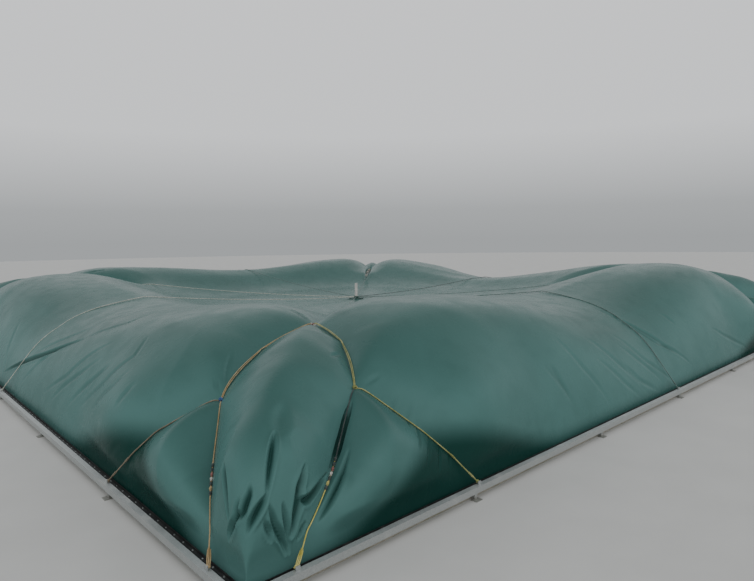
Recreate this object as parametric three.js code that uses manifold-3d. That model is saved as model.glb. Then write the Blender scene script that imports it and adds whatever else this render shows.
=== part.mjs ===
// Covered slurry tank: the head of a square in-ground concrete store, with a galvanised rail
// round it and a gas-filled membrane cover held down by ropes.
// Millimetres, +Z up. The origin is the centre of the square at ground level.
import * as THREE from "three";
import { mergeVertices } from "three/addons/utils/BufferGeometryUtils.js";
import Module from "manifold-3d";

const wasm = await Module();
wasm.setup();

// Plan sizes
const SIDE = 27000; // over the outer faces of the rails
const RAIL_WIDTH = 100;
const RAIL_HEIGHT = 110;
const RAIL_LIFT = 110; // underside of the rail above the ground
const BAY = 4500; // spacing of the rail's feet
const FOOT_INSET = 250; // from the rail's outer face to the foot of the cover
const JOINT_GAP = 0.3;
const PANEL_GAP = 3; // between two panels of the cover, under a rope

// Kerb, skirt and clamp
const KERB_OUTER_INSET = 115;
const KERB_INNER_INSET = 500;
const KERB_HEIGHT = 90;
const SKIRT_THICKNESS = 10;
const SKIRT_INSET = 3; // from the kerb's outer edge
const CLAMP_LEG = 50;
const CLAMP_THICKNESS = 6;

// Cover
const SKIN = 30; // modelled thickness of the cover
const FOOT_Z = KERB_HEIGHT + JOINT_GAP;
const RISE_LENGTH = 3750; // from the foot to the crest of a lobe
const RISE_POWER = 3.5;
const RISE_ROOT = 2;
const FOOT_EDGE = 0.2; // nearer the foot's line than this, the cover lies on the kerb
const BASIN_START = 7000;
const BASIN_Z = 1850;
const BULGE = 300; // how far the lobes lean out over their foot
const BULGE_DEPTH = 2600;
const BULGE_AT_ROPES = 0.2; // share of the bulge that is left under a rope
const CORNER_POWER = 3;
const CREASE_POWER = 8;
const ROUNDED_END = 0.35; // width of a rounded fold past its end, as a share of its width
// Crest of each of the eight lobes, counted from the near corner round by the front side
const LOBE_CRESTS = [3180, 3470, 3180, 3170, 3300, 3350, 3170, 2840];
const NEAR_CORNER_TURN = 135; // degrees from the near corner to the +X axis
const CREST_TURN = 22.5; // degrees from the middle line of a side to the crest of its lobes

// Rope layout, as distances along and in from the foot of the cover
const NODE_INSET = 4250;
const JUNCTION = { along: 2850, inward: 1250, z: 2000 };
const SIDE_ANCHOR = 4200;
const CORNER_ANCHOR = 900;
const NODE_Z = [2550, 2500, 2450, 2550]; // knots over the four corners
const DIAGONAL_Z = [2200, 2350, 2450, 2550]; // diagonal ropes, a third of the way in
const SADDLE_Z = [2670, 2300, 2850, 2610]; // middle of each side
const ROPE_RADIUS = 16;
const ROPE_SIDES = 6;
const ROPE_CLEARANCE = 110;
const ROPE_SAG = 100; // over the hollow in the middle of the cover
const PROBE_STEP = 60; // between the points that give the cover's slope under a rope
const UPPER_ROPE_STEPS = 7;
const LOWER_ROPE_STEPS = 10;
const DIAGONAL_ROPE_STEPS = 14;
const MIDDLE_ROPE_STEPS = 22;
const ROPE_START_SHARE = 0.04; // how far from the corner's knot the upper ropes start
const RING_RADIUS = 60;
const RING_WIRE = 12;
const RING_LIFT = 60;
const KNOT = 44;
const KNOT_DROP = 0.45; // knot's middle below the lug's top, as a share of the lug's height

// Folds that the ropes press into the cover, with the width of the fold at each station
const NODE_FOLD = 580;
const JUNCTION_FOLD = 700;
const UPPER_BEND = { along: 3650, inward: 2550, share: 0.95, width: 800 }; // share of the knot's height
const SIDE_FALL = { share: 0.6, z: 1150, width: 700, footZ: 500, footWidth: 500 }; // down to the side anchor
const CORNER_FALL = { share: 0.55, z: 1000, width: 600, footZ: 450, footWidth: 400 };
const DIAGONAL_INNER = { inset: 7250, width: 690 };
const DIAGONAL_LOW = { inset: 10250, share: 0.6, width: 830 }; // share of the way down to the basin
const DIAGONAL_END_WIDTH = 930;
const MIDDLE_FOOT_WIDTH = 3400;
const MIDDLE_SHOULDER = { inward: 1250, share: 0.69, width: 4250 }; // share of the saddle's height
const MIDDLE_SADDLE = { inward: 4050, width: 4900 };
const MIDDLE_SLOPE = { inward: 7250, z: 2300, width: 4700 };
const MIDDLE_LOW = { inward: 10250, z: 2000, width: 4250 };
const MIDDLE_END_WIDTH = 3800;

// Lugs on the rail that the ropes are tied to
const LUG_WIDTH = 70;
const LUG_HEIGHT = 60;
const LUG_THICKNESS = 14;
const LUG_INSET = 50; // from the rail's outer face

// Feet of the rail
const LEG_WIDTH = 70;
const LEG_DEPTH = 60;
const LEG_INSET = 20; // from the rail's outer face
const END_LEG_INSET = 300; // from the rail's end
const FOOT_PLATE = { width: 160, depth: 130, thickness: 12, overhang: 60 };
const WELD_OVERLAP = 5; // how far legs and lugs run into the rail

// Pipe in the middle
const PIPE_RADIUS = 60;
const PIPE_BORE = 50;
const PIPE_TOP_Z = 2520;
const PIPE_DEPTH = 300; // how far the pipe reaches down under the cover
const PIPE_SIDES = 24;
const COLLAR_SIDES = 8; // a flat for each rope
const COLLAR_RUN = 260; // level end of a rope before the collar
const FLANGE_RADIUS = 300;
const FLANGE_HEIGHT = 20;
const COLLAR_APOTHEM = 100;
const COLLAR_HEIGHT = 110;
const HOLE_RADIUS = 180;
const FLAT_ROW = 560; // last row of points before the hole
const FLAT_RADIUS = 780;
const FLAT_BLEND = 900;

const HALF = SIDE / 2;
const FOOT_HALF = HALF - FOOT_INSET;
const SIDE_NAMES = ["front", "right", "back", "left"];
const CORNER_NAMES = ["front_left", "front_right", "back_right", "back_left"];

const steel = new THREE.MeshStandardMaterial({ color: 0x9aa09d, roughness: 0.45, metalness: 0.85 });
const concrete = new THREE.MeshStandardMaterial({ color: 0x9b9683, roughness: 0.9, metalness: 0 });
const black = new THREE.MeshStandardMaterial({ color: 0x15171a, roughness: 0.6, metalness: 0 });
const cover = new THREE.MeshStandardMaterial({ color: 0x2f6257, roughness: 0.42, metalness: 0 });
const rope = new THREE.MeshStandardMaterial({ color: 0x8b9a4f, roughness: 0.8, metalness: 0 });
const pale = new THREE.MeshStandardMaterial({ color: 0xc9ccc6, roughness: 0.5, metalness: 0 });

const part = new THREE.Group();

const clamp01 = (v) => Math.min(Math.max(v, 0), 1);
const smooth = (v) => v * v * (3 - 2 * v);
const mix = (a, b, t) => a + (b - a) * t;
const toGrid = (v) => Math.round(v * 100) / 100; // so that panels share their edge points exactly

function addMesh(name, geometry, material) {
  const mesh = new THREE.Mesh(geometry, material);
  mesh.name = name;
  part.add(mesh);
}

// Plan point of a side's own frame (x along the side, y outward negative) turned to side number k
function turned(x, y, k) {
  const c = [1, 0, -1, 0][k];
  const s = [0, 1, 0, -1][k];
  return [c * x - s * y, s * x + c * y];
}

// Solids for cutting and joining

function positionsOnly(geometry) {
  const plain = geometry.index ? geometry.toNonIndexed() : geometry.clone();
  const bare = new THREE.BufferGeometry();
  bare.setAttribute("position", plain.getAttribute("position"));
  return mergeVertices(bare, 1e-3);
}

function solid(geometry) {
  const merged = positionsOnly(geometry);
  return new wasm.Manifold(
    new wasm.Mesh({
      numProp: 3,
      vertProperties: merged.attributes.position.array,
      triVerts: new Uint32Array(merged.index.array),
    }),
  );
}

function geometryOf(manifold) {
  const mesh = manifold.getMesh();
  const geometry = new THREE.BufferGeometry();
  geometry.setAttribute("position", new THREE.BufferAttribute(new Float32Array(mesh.vertProperties), 3));
  geometry.setIndex(new THREE.BufferAttribute(new Uint32Array(mesh.triVerts), 1));
  geometry.computeVertexNormals();
  return geometry;
}

function union(geometries) {
  return geometryOf(geometries.map(solid).reduce((a, b) => a.add(b)));
}

// A box between two corners, in the frame of side k
function sideBox(k, x0, x1, y0, y1, z0, z1) {
  const geometry = new THREE.BoxGeometry(x1 - x0, y1 - y0, z1 - z0);
  geometry.translate((x0 + x1) / 2, (y0 + y1) / 2, (z0 + z1) / 2);
  return geometry.rotateZ((k * Math.PI) / 2);
}

// A section (y outward negative, z up) run along side k with mitred ends
function mitredBar(k, section) {
  const gap = JOINT_GAP / 2;
  const ring = (sign) => section.map(([y, z]) => new THREE.Vector3(sign * (-y - gap), y, z));
  const a = ring(-1);
  const b = ring(1);
  const faces = THREE.ShapeUtils.triangulateShape(
    section.map(([y, z]) => new THREE.Vector2(y, z)),
    [],
  );
  const points = [...a, ...b];
  const n = section.length;
  const index = [];
  for (const [i, j, m] of faces) {
    index.push(i, m, j, n + i, n + j, n + m);
  }
  for (let i = 0; i < n; i++) {
    const j = (i + 1) % n;
    index.push(i, j, n + j, i, n + j, n + i);
  }
  const geometry = new THREE.BufferGeometry().setFromPoints(points);
  geometry.setIndex(index);
  geometry.computeVertexNormals();
  return geometry.rotateZ((k * Math.PI) / 2);
}

// Shape of the cover

function ringHeight(distance, crest) {
  const t = clamp01((distance - FOOT_EDGE) / RISE_LENGTH);
  const rise = (1 - (1 - t) ** RISE_POWER) ** (1 / RISE_ROOT);
  const fall = smooth(clamp01((distance - RISE_LENGTH) / (BASIN_START - RISE_LENGTH)));
  return mix(FOOT_Z, crest, rise) - (crest - BASIN_Z) * fall;
}

// Height of the crest in the direction of a plan point, blended from the two nearest lobes
function crestAt(x, y) {
  const turn = (THREE.MathUtils.radToDeg(Math.atan2(y, x)) + NEAR_CORNER_TURN + 360) % 360;
  const side = Math.floor(turn / 90);
  const offMiddle = turn - 90 * side - 45;
  const beyond = Math.max(Math.abs(offMiddle) - CREST_TURN, 0) / (45 - CREST_TURN);
  const share = (Math.min(Math.abs(offMiddle) / CREST_TURN, 1) + beyond) / 2;
  const place = 2 * side + 0.5 + Math.sign(offMiddle) * share;
  const lower = Math.floor(place);
  const weight = 0.5 - 0.5 * Math.cos(Math.PI * (place - lower));
  return mix(LOBE_CRESTS[(lower + 8) % 8], LOBE_CRESTS[(lower + 9) % 8], weight);
}

// The cover without its creases, at a plan point of the foot's square
function freeHeight(x, y) {
  const sides = [FOOT_HALF + x, FOOT_HALF - x, FOOT_HALF + y, FOOT_HALF - y];
  const sum = sides.reduce((total, d) => total + Math.max(d, 0.1) ** -CORNER_POWER, 0);
  return ringHeight(sum ** (-1 / CORNER_POWER), crestAt(x, y));
}

// World plan point of [along, inward] on one end of a side; end 0 starts at the side's own corner
function planPoint(side, end, along, inward) {
  const x = end === 0 ? -FOOT_HALF + along : FOOT_HALF - along;
  return turned(x, -FOOT_HALF + inward, side);
}

const junctionPlan = [JUNCTION.along, JUNCTION.inward];
const bendPlan = [UPPER_BEND.along, UPPER_BEND.inward];
const nodePlan = [NODE_INSET, NODE_INSET];
const centrePlan = [FOOT_HALF, FOOT_HALF];

// A fold pressed into the cover: stations are [along, inward, level, width of the fold there].
// The level is a height, or for a rounded fold a share of the height that the cover has without it.
function crease(side, end, stations, rounded) {
  const points = stations.map(([along, inward, level, width]) => {
    const [x, y] = planPoint(side, end, along, inward);
    return { x, y, level, width };
  });
  return { points, rounded };
}

// The fold under a lower rope, from the junction down to its anchor on the foot
function lowerCrease(side, end, anchor, fall) {
  const along = mix(JUNCTION.along, anchor, fall.share);
  const stations = [
    [...junctionPlan, JUNCTION.z, JUNCTION_FOLD],
    [along, JUNCTION.inward * (1 - fall.share), fall.z, fall.width],
    [anchor, 0, fall.footZ, fall.footWidth],
  ];
  return crease(side, end, stations, false);
}

// The folds under the ropes that start at one corner, on one of its two sides
function ropeCreases(side, end) {
  const nodeZ = NODE_Z[(side + end) % 4];
  const upper = [
    [...nodePlan, nodeZ, NODE_FOLD],
    [UPPER_BEND.along, UPPER_BEND.inward, nodeZ * UPPER_BEND.share, UPPER_BEND.width],
    [...junctionPlan, JUNCTION.z, JUNCTION_FOLD],
  ];
  return [
    crease(side, end, upper, false),
    lowerCrease(side, end, SIDE_ANCHOR, SIDE_FALL),
    lowerCrease(side, end, CORNER_ANCHOR, CORNER_FALL),
  ];
}

function diagonalCrease(corner) {
  const [inner, low] = [DIAGONAL_INNER, DIAGONAL_LOW];
  const stations = [
    [...nodePlan, NODE_Z[corner], NODE_FOLD],
    [inner.inset, inner.inset, DIAGONAL_Z[corner], inner.width],
    [low.inset, low.inset, mix(DIAGONAL_Z[corner], BASIN_Z, low.share), low.width],
    [...centrePlan, BASIN_Z, DIAGONAL_END_WIDTH],
  ];
  return crease(corner, 0, stations, false);
}

function middleCrease(side) {
  const levels = [
    [MIDDLE_SHOULDER, SADDLE_Z[side] * MIDDLE_SHOULDER.share],
    [MIDDLE_SADDLE, SADDLE_Z[side]],
    [MIDDLE_SLOPE, MIDDLE_SLOPE.z],
    [MIDDLE_LOW, MIDDLE_LOW.z],
  ];
  const stations = levels.map(([place, z]) => {
    const free = freeHeight(...planPoint(side, 0, FOOT_HALF, place.inward));
    return [FOOT_HALF, place.inward, Math.min((z - FOOT_Z) / (free - FOOT_Z), 1), place.width];
  });
  const foot = [FOOT_HALF, 0, stations[0][2], MIDDLE_FOOT_WIDTH];
  return crease(side, 0, [foot, ...stations, [...centrePlan, 1, MIDDLE_END_WIDTH]], true);
}

const CREASES = [0, 1, 2, 3].flatMap((n) => [
  ...ropeCreases(n, 0),
  ...ropeCreases(n, 1),
  diagonalCrease(n),
  middleCrease(n),
]);

// Height of the creased cover, and how near the point lies to a rope, from 0 to 1
function creasedHeight(x, y) {
  const whole = freeHeight(x, y);
  let sum = 0;
  let nearRope = 0;
  for (const { points, rounded } of CREASES) {
    let deepest = 0;
    for (let i = 0; i + 1 < points.length; i++) {
      const [a, b] = [points[i], points[i + 1]];
      const length = Math.hypot(b.x - a.x, b.y - a.y);
      const way = [(b.x - a.x) / length, (b.y - a.y) / length];
      const run = (x - a.x) * way[0] + (y - a.y) * way[1];
      const t = clamp01(run / length);
      const across = (x - a.x) * way[1] - (y - a.y) * way[0];
      const beyond = (run - t * length) / (rounded ? ROUNDED_END : 1);
      const reach = Math.hypot(across, beyond) / mix(a.width, b.width, t);
      const level = mix(a.level, b.level, t);
      if (rounded) {
        deepest = Math.max(deepest, (1 - level) * (whole - FOOT_Z) * Math.exp(-reach * reach));
      } else {
        const free = freeHeight(mix(a.x, b.x, t), mix(a.y, b.y, t));
        deepest = Math.max(deepest, (free - level) * Math.exp(-reach));
        nearRope = Math.max(nearRope, Math.exp(-reach));
      }
    }
    sum += deepest ** CREASE_POWER;
  }
  const creased = Math.max(whole - sum ** (1 / CREASE_POWER), FOOT_Z);
  const flat = 1 - smooth(clamp01((Math.hypot(x, y) - FLAT_RADIUS) / FLAT_BLEND));
  return { z: mix(creased, BASIN_Z, flat), nearRope };
}

function bulgeAt(distance) {
  const t = clamp01(distance / BULGE_DEPTH);
  return 2 * BULGE * Math.sin(Math.PI * t) * (1 - t) ** 2;
}

// The cover's surface in space, over a plan point of one end of a side
function coverPoint(side, end, along, inward) {
  const [x, y] = planPoint(side, end, along, inward);
  const { z, nearRope } = creasedHeight(x, y);
  const share = mix(1, BULGE_AT_ROPES, nearRope);
  const lean = (v) => (bulgeAt(FOOT_HALF - v) - bulgeAt(FOOT_HALF + v)) * share;
  return new THREE.Vector3(toGrid(x + lean(x)), toGrid(y + lean(y)), toGrid(z));
}

// Panels of the cover

const ROWS = 11;
const ROPE_ROWS = 4; // rows from the rail to the junction of the ropes
const ROPE_ROW_EASE = 1.6; // rows lie closer together at the foot
const MIDDLE_ROW_EASE = 2;
const DIAGONAL_ROW_EASE = 1.5;
const LOBE_COLUMNS = [0, 0.05, 0.13, 0.25, 0.42, 0.63, 0.82, 0.965, 1];
const CORNER_COLUMNS = [0, 0.2, 0.4, 0.6, 0.8, 1];

// The plan point a share t of the way along a line of plan points
function alongLine(points, t) {
  const lengths = points.slice(1).map((p, i) => Math.hypot(p[0] - points[i][0], p[1] - points[i][1]));
  let left = t * lengths.reduce((a, b) => a + b, 0);
  for (let i = 0; i < lengths.length; i++) {
    if (left <= lengths[i] || i === lengths.length - 1) {
      const share = left / lengths[i];
      return [mix(points[i][0], points[i + 1][0], share), mix(points[i][1], points[i + 1][1], share)];
    }
    left -= lengths[i];
  }
  return points[points.length - 1];
}

// Row i of a rope that runs from an anchor on the foot over the junction to the corner's knot
function ropeRow(anchor, i) {
  if (i <= ROPE_ROWS) {
    return alongLine([[anchor, 0], junctionPlan], (i / ROPE_ROWS) ** ROPE_ROW_EASE);
  }
  return alongLine([junctionPlan, bendPlan, nodePlan], (i - ROPE_ROWS) / (ROWS - ROPE_ROWS));
}

// Row i of the line from the middle of a side to the hole for the pipe
function middleRow(i) {
  if (i < ROWS) {
    return [FOOT_HALF, (FOOT_HALF - FLAT_ROW) * (i / (ROWS - 1)) ** MIDDLE_ROW_EASE];
  }
  const inset = FOOT_HALF - HOLE_RADIUS * Math.SQRT1_2;
  return [inset, inset];
}

// Row i of the line from a corner of the foot to that corner's knot
function diagonalRow(i) {
  const inset = NODE_INSET * (i / ROWS) ** DIAGONAL_ROW_EASE;
  return [inset, inset];
}

// A ruled grid of surface points between two lines of plan points; gaps are kept at left, right and top
function sheetGrid(side, end, rows, leftRow, rightRow, columns, gaps) {
  const plan = (i, j) => {
    const a = leftRow(i);
    const b = rightRow(i);
    const width = Math.max(Math.hypot(b[0] - a[0], b[1] - a[1]), 1);
    const t = mix(gaps.left / width, 1 - gaps.right / width, columns[j]);
    return [mix(a[0], b[0], t), mix(a[1], b[1], t)];
  };
  const point = (i, j) => {
    const here = plan(i, j);
    if (i < rows || gaps.top === 0) {
      return coverPoint(side, end, ...here);
    }
    const before = plan(i - 1, j);
    const t = gaps.top / Math.hypot(here[0] - before[0], here[1] - before[1]);
    return coverPoint(side, end, mix(here[0], before[0], t), mix(here[1], before[1], t));
  };
  const triangles = [];
  for (let i = 0; i < rows; i++) {
    for (let j = 0; j + 1 < columns.length; j++) {
      const quad = [point(i, j), point(i, j + 1), point(i + 1, j + 1), point(i + 1, j)];
      const order = end === 0 ? [0, 1, 2, 0, 2, 3] : [0, 2, 1, 0, 3, 2];
      for (const n of order) {
        triangles.push(quad[n]);
      }
    }
  }
  return triangles;
}

// Gives a surface its thickness, inwards along its normals, and closes its edges
function thickened(triangles, thickness) {
  const raw = new THREE.BufferGeometry().setFromPoints(triangles);
  const outer = mergeVertices(raw, 0.01);
  const index = [];
  for (let i = 0; i < outer.index.count; i += 3) {
    const [a, b, c] = [0, 1, 2].map((n) => outer.index.getX(i + n));
    if (a !== b && b !== c && a !== c) {
      index.push(a, b, c);
    }
  }
  outer.setIndex(index);
  outer.computeVertexNormals();
  const count = outer.attributes.position.count;
  const edges = new Map();
  for (let i = 0; i < index.length; i += 3) {
    for (let n = 0; n < 3; n++) {
      const a = index[i + n];
      const b = index[i + ((n + 1) % 3)];
      edges.set(`${a},${b}`, [a, b]);
    }
  }
  const border = [...edges.values()].filter(([a, b]) => !edges.has(`${b},${a}`));
  const points = [];
  const normals = [];
  for (let i = 0; i < count; i++) {
    points.push(new THREE.Vector3().fromBufferAttribute(outer.attributes.position, i));
    normals.push(new THREE.Vector3().fromBufferAttribute(outer.attributes.normal, i));
  }
  // On an edge between two panels the thickness stays in the upright plane along that edge
  const onFoot = (i) => points[i].z < FOOT_Z + 1;
  const directions = new Map();
  for (const [a, b] of border.filter(([a, b]) => !(onFoot(a) && onFoot(b)))) {
    const run = new THREE.Vector3(points[b].x - points[a].x, points[b].y - points[a].y, 0).normalize();
    for (const i of [a, b]) {
      directions.set(i, (directions.get(i) ?? new THREE.Vector3()).add(run));
    }
  }
  for (const [i, run] of directions) {
    const across = new THREE.Vector3(run.y, -run.x, 0).normalize();
    normals[i].addScaledVector(across, -normals[i].dot(across)).normalize();
  }
  for (let i = 0; i < count; i++) {
    const inner = points[i].clone().addScaledVector(normals[i], -thickness);
    inner.z = onFoot(i) ? FOOT_Z : Math.max(inner.z, FOOT_Z);
    points.push(inner);
  }
  const faces = [...index];
  for (let i = 0; i < index.length; i += 3) {
    faces.push(index[i] + count, index[i + 2] + count, index[i + 1] + count);
  }
  // Both sides of a joint split their edge faces from the lower end, so that they fit each other
  for (const [a, b] of border) {
    if (points[a].z > points[b].z) {
      faces.push(b, a, a + count, b, a + count, b + count);
    } else {
      faces.push(b, a, b + count, a, a + count, b + count);
    }
  }
  const geometry = new THREE.BufferGeometry().setFromPoints(points);
  geometry.setIndex(faces);
  geometry.computeVertexNormals();
  return geometry;
}

function lobe(side, end) {
  const left = (i) => ropeRow(SIDE_ANCHOR, i);
  const gaps = { left: PANEL_GAP, right: JOINT_GAP / 2, top: JOINT_GAP / 2 };
  return thickened(sheetGrid(side, end, ROWS, left, middleRow, LOBE_COLUMNS, gaps), SKIN);
}

// The corner panel: the petal between the two corner ropes, and a pocket on each side of it
function cornerPanel(corner) {
  const triangles = [];
  const cornerLine = (i) => ropeRow(CORNER_ANCHOR, i);
  const sideLine = (i) => ropeRow(SIDE_ANCHOR, i);
  const none = { left: 0, right: 0, top: 0 };
  for (const [side, end] of [[corner, 0], [(corner + 3) % 4, 1]]) {
    triangles.push(...sheetGrid(side, end, ROWS, diagonalRow, cornerLine, CORNER_COLUMNS, none));
    triangles.push(...sheetGrid(side, end, ROPE_ROWS, cornerLine, sideLine, CORNER_COLUMNS, none));
  }
  return thickened(triangles, SKIN);
}

// Ropes

function tube(points, radius, steps) {
  const path = new THREE.CatmullRomCurve3(points, false, "centripetal");
  const outline = Array.from({ length: ROPE_SIDES }, (_, i) => {
    const angle = (2 * Math.PI * i) / ROPE_SIDES;
    return new THREE.Vector2(radius * Math.cos(angle), radius * Math.sin(angle));
  });
  const options = { steps, extrudePath: path, bevelEnabled: false };
  return new THREE.ExtrudeGeometry(new THREE.Shape(outline), options);
}

// A point of a rope's middle line, clear of the cover by its normal there
function ropePoint(side, end, along, inward) {
  const at = (da, di) => coverPoint(side, end, along + da, Math.max(inward + di, 0));
  const du = at(PROBE_STEP, 0).sub(at(-PROBE_STEP, 0));
  const dv = at(0, PROBE_STEP).sub(at(0, -PROBE_STEP));
  const normal = end === 0 ? du.cross(dv) : dv.cross(du);
  return at(0, 0).addScaledVector(normal.normalize(), ROPE_CLEARANCE);
}

const LUG_TOP_Z = RAIL_LIFT + RAIL_HEIGHT + LUG_HEIGHT;
const KNOT_Z = LUG_TOP_Z - LUG_HEIGHT * KNOT_DROP;
const lugFace = LUG_INSET + LUG_THICKNESS / 2 - FOOT_INSET; // inner face, from the foot of the cover
const knotInward = lugFace + JOINT_GAP + KNOT / 2;

// Where a rope that comes down to a given point of the foot meets the line of the lugs
function lugAlong(footAlong) {
  const slope = (footAlong - JUNCTION.along) / JUNCTION.inward;
  return footAlong - slope * knotInward;
}

// The knot that ties a rope to its lug
function knot(side, end, along) {
  const x = end === 0 ? -FOOT_HALF + along : FOOT_HALF - along;
  const y = -FOOT_HALF + knotInward;
  const half = KNOT / 2;
  return sideBox(side, x - half, x + half, y - half, y + half, KNOT_Z - half, KNOT_Z + half);
}

function knotCentre(side, end, along) {
  const [x, y] = planPoint(side, end, along, knotInward);
  return new THREE.Vector3(x, y, KNOT_Z);
}

function cornerRope(side, end) {
  const start = alongLine([nodePlan, bendPlan, junctionPlan], ROPE_START_SHARE);
  const upper = [ropePoint(side, end, ...start)];
  for (let i = ROWS - 1; i >= ROPE_ROWS; i--) {
    upper.push(ropePoint(side, end, ...ropeRow(SIDE_ANCHOR, i)));
  }
  const pieces = [tube(upper, ROPE_RADIUS, UPPER_ROPE_STEPS)];
  for (const anchor of [SIDE_ANCHOR, CORNER_ANCHOR]) {
    const points = [];
    for (let i = ROPE_ROWS; i > 0; i--) {
      points.push(ropePoint(side, end, ...ropeRow(anchor, i)));
    }
    points.push(knotCentre(side, end, lugAlong(anchor)));
    pieces.push(tube(points, ROPE_RADIUS, LOWER_ROPE_STEPS), knot(side, end, lugAlong(anchor)));
  }
  return union(pieces);
}

// Ends a rope square against its flat of the collar in the middle
function endAtCollar(points, direction) {
  const z = BASIN_Z + ROPE_CLEARANCE;
  for (const reach of [COLLAR_APOTHEM + COLLAR_RUN, COLLAR_APOTHEM + JOINT_GAP]) {
    points.push(new THREE.Vector3(direction.x * reach, direction.y * reach, z));
  }
  tautened(points);
}

// Lifts a rope's points to the line that it takes over the hollow in the middle of the cover
function tautened(points) {
  const last = points[points.length - 2];
  const runs = points.map((p) => Math.hypot(p.x - last.x, p.y - last.y));
  const slopes = points.slice(1, -3).map((p, i) => (p.z - last.z) / runs[i + 1]);
  const leaves = slopes.indexOf(Math.max(...slopes)) + 1;
  const [top, span] = [points[leaves], runs[leaves]];
  for (let i = leaves + 1; i < points.length - 2; i++) {
    const t = 1 - runs[i] / span;
    points[i].z = Math.max(points[i].z, mix(top.z, last.z, t) - 4 * ROPE_SAG * t * (1 - t));
  }
}

function diagonalRope(corner) {
  const ring = new THREE.TorusGeometry(RING_RADIUS, RING_WIRE, 6, 12);
  const centre = ropePoint(corner, 0, NODE_INSET, NODE_INSET);
  centre.z += RING_LIFT;
  ring.translate(centre.x, centre.y, centre.z);
  const start = NODE_INSET + RING_RADIUS * Math.SQRT1_2;
  const points = LOBE_COLUMNS.slice(0, -2).map((t) => {
    const inset = mix(start, FOOT_HALF, t);
    return ropePoint(corner, 0, inset, inset);
  });
  points[0].z = centre.z;
  endAtCollar(points, new THREE.Vector3(...planPoint(corner, 0, 0, 0), 0).normalize());
  return union([ring, tube(points, ROPE_RADIUS, DIAGONAL_ROPE_STEPS)]);
}

function middleRope(side) {
  const points = [knotCentre(side, 0, FOOT_HALF)];
  for (let i = 1; i < ROWS - 1; i++) {
    points.push(ropePoint(side, 0, ...middleRow(i)));
  }
  endAtCollar(points, new THREE.Vector3(...planPoint(side, 0, FOOT_HALF, 0), 0).normalize());
  return union([tube(points, ROPE_RADIUS, MIDDLE_ROPE_STEPS), knot(side, 0, FOOT_HALF)]);
}

// Rail, with its feet and the lugs for the ropes

function rail(side) {
  const outer = -HALF;
  const inner = -HALF + RAIL_WIDTH;
  const top = RAIL_LIFT + RAIL_HEIGHT;
  const bar = mitredBar(side, [[outer, RAIL_LIFT], [inner, RAIL_LIFT], [inner, top], [outer, top]]);
  const pieces = [bar];
  const places = [-HALF + END_LEG_INSET, HALF - END_LEG_INSET];
  for (let x = -HALF + BAY; x < HALF - BAY / 2; x += BAY) {
    places.push(x);
  }
  const { width, depth, thickness, overhang } = FOOT_PLATE;
  const legY = outer + LEG_INSET;
  const plateY = outer - overhang;
  const legTop = RAIL_LIFT + WELD_OVERLAP;
  for (const x of places) {
    pieces.push(sideBox(side, x - LEG_WIDTH / 2, x + LEG_WIDTH / 2, legY, legY + LEG_DEPTH, 1, legTop));
    pieces.push(sideBox(side, x - width / 2, x + width / 2, plateY, plateY + depth, 0, thickness));
  }
  const lugs = [0];
  for (const foot of [SIDE_ANCHOR, CORNER_ANCHOR]) {
    const x = FOOT_HALF - lugAlong(foot);
    lugs.push(-x, x);
  }
  const y0 = outer + LUG_INSET - LUG_THICKNESS / 2;
  const y1 = y0 + LUG_THICKNESS;
  const lugFoot = top - WELD_OVERLAP;
  for (const x of lugs) {
    pieces.push(sideBox(side, x - LUG_WIDTH / 2, x + LUG_WIDTH / 2, y0, y1, lugFoot, LUG_TOP_Z));
  }
  return union(pieces);
}

// Square-edged pieces that run round the store

function kerb(side) {
  const outer = -HALF + KERB_OUTER_INSET;
  const inner = -HALF + KERB_INNER_INSET;
  return mitredBar(side, [[outer, 0], [inner, 0], [inner, KERB_HEIGHT], [outer, KERB_HEIGHT]]);
}

function skirt(side) {
  const outer = -HALF + KERB_OUTER_INSET + SKIRT_INSET;
  const inner = -FOOT_HALF - JOINT_GAP;
  const base = KERB_HEIGHT + JOINT_GAP;
  const top = base + SKIRT_THICKNESS;
  return mitredBar(side, [[outer, base], [inner, base], [inner, top], [outer, top]]);
}

function clampAngle(side) {
  const face = -FOOT_HALF - JOINT_GAP;
  const base = KERB_HEIGHT + 2 * JOINT_GAP + SKIRT_THICKNESS;
  const t = CLAMP_THICKNESS;
  return mitredBar(side, [
    [face - CLAMP_LEG, base],
    [face, base],
    [face, base + CLAMP_LEG],
    [face - t, base + CLAMP_LEG],
    [face - t, base + t],
    [face - CLAMP_LEG, base + t],
  ]);
}

// Pipe and collar in the middle of the cover

function lathe(profile, segments) {
  const points = profile.map(([r, z]) => new THREE.Vector2(r, z));
  points.push(points[0].clone());
  return positionsOnly(new THREE.LatheGeometry(points, segments).rotateX(Math.PI / 2));
}

function centrePipe() {
  const foot = BASIN_Z - PIPE_DEPTH;
  const top = PIPE_TOP_Z;
  return lathe([[PIPE_BORE, foot], [PIPE_RADIUS, foot], [PIPE_RADIUS, top], [PIPE_BORE, top]], PIPE_SIDES);
}

// The collar's radii are those of its flats, so its corners lie further out
function centreCollar() {
  const corner = 1 / Math.cos(Math.PI / COLLAR_SIDES);
  const base = BASIN_Z + JOINT_GAP;
  const bore = (PIPE_RADIUS + JOINT_GAP) * corner;
  const profile = [
    [bore, base],
    [FLANGE_RADIUS * corner, base],
    [FLANGE_RADIUS * corner, base + FLANGE_HEIGHT],
    [COLLAR_APOTHEM * corner, base + FLANGE_HEIGHT],
    [COLLAR_APOTHEM * corner, base + COLLAR_HEIGHT],
    [bore, base + COLLAR_HEIGHT],
  ];
  return lathe(profile, COLLAR_SIDES).rotateZ(Math.PI / COLLAR_SIDES);
}

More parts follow.
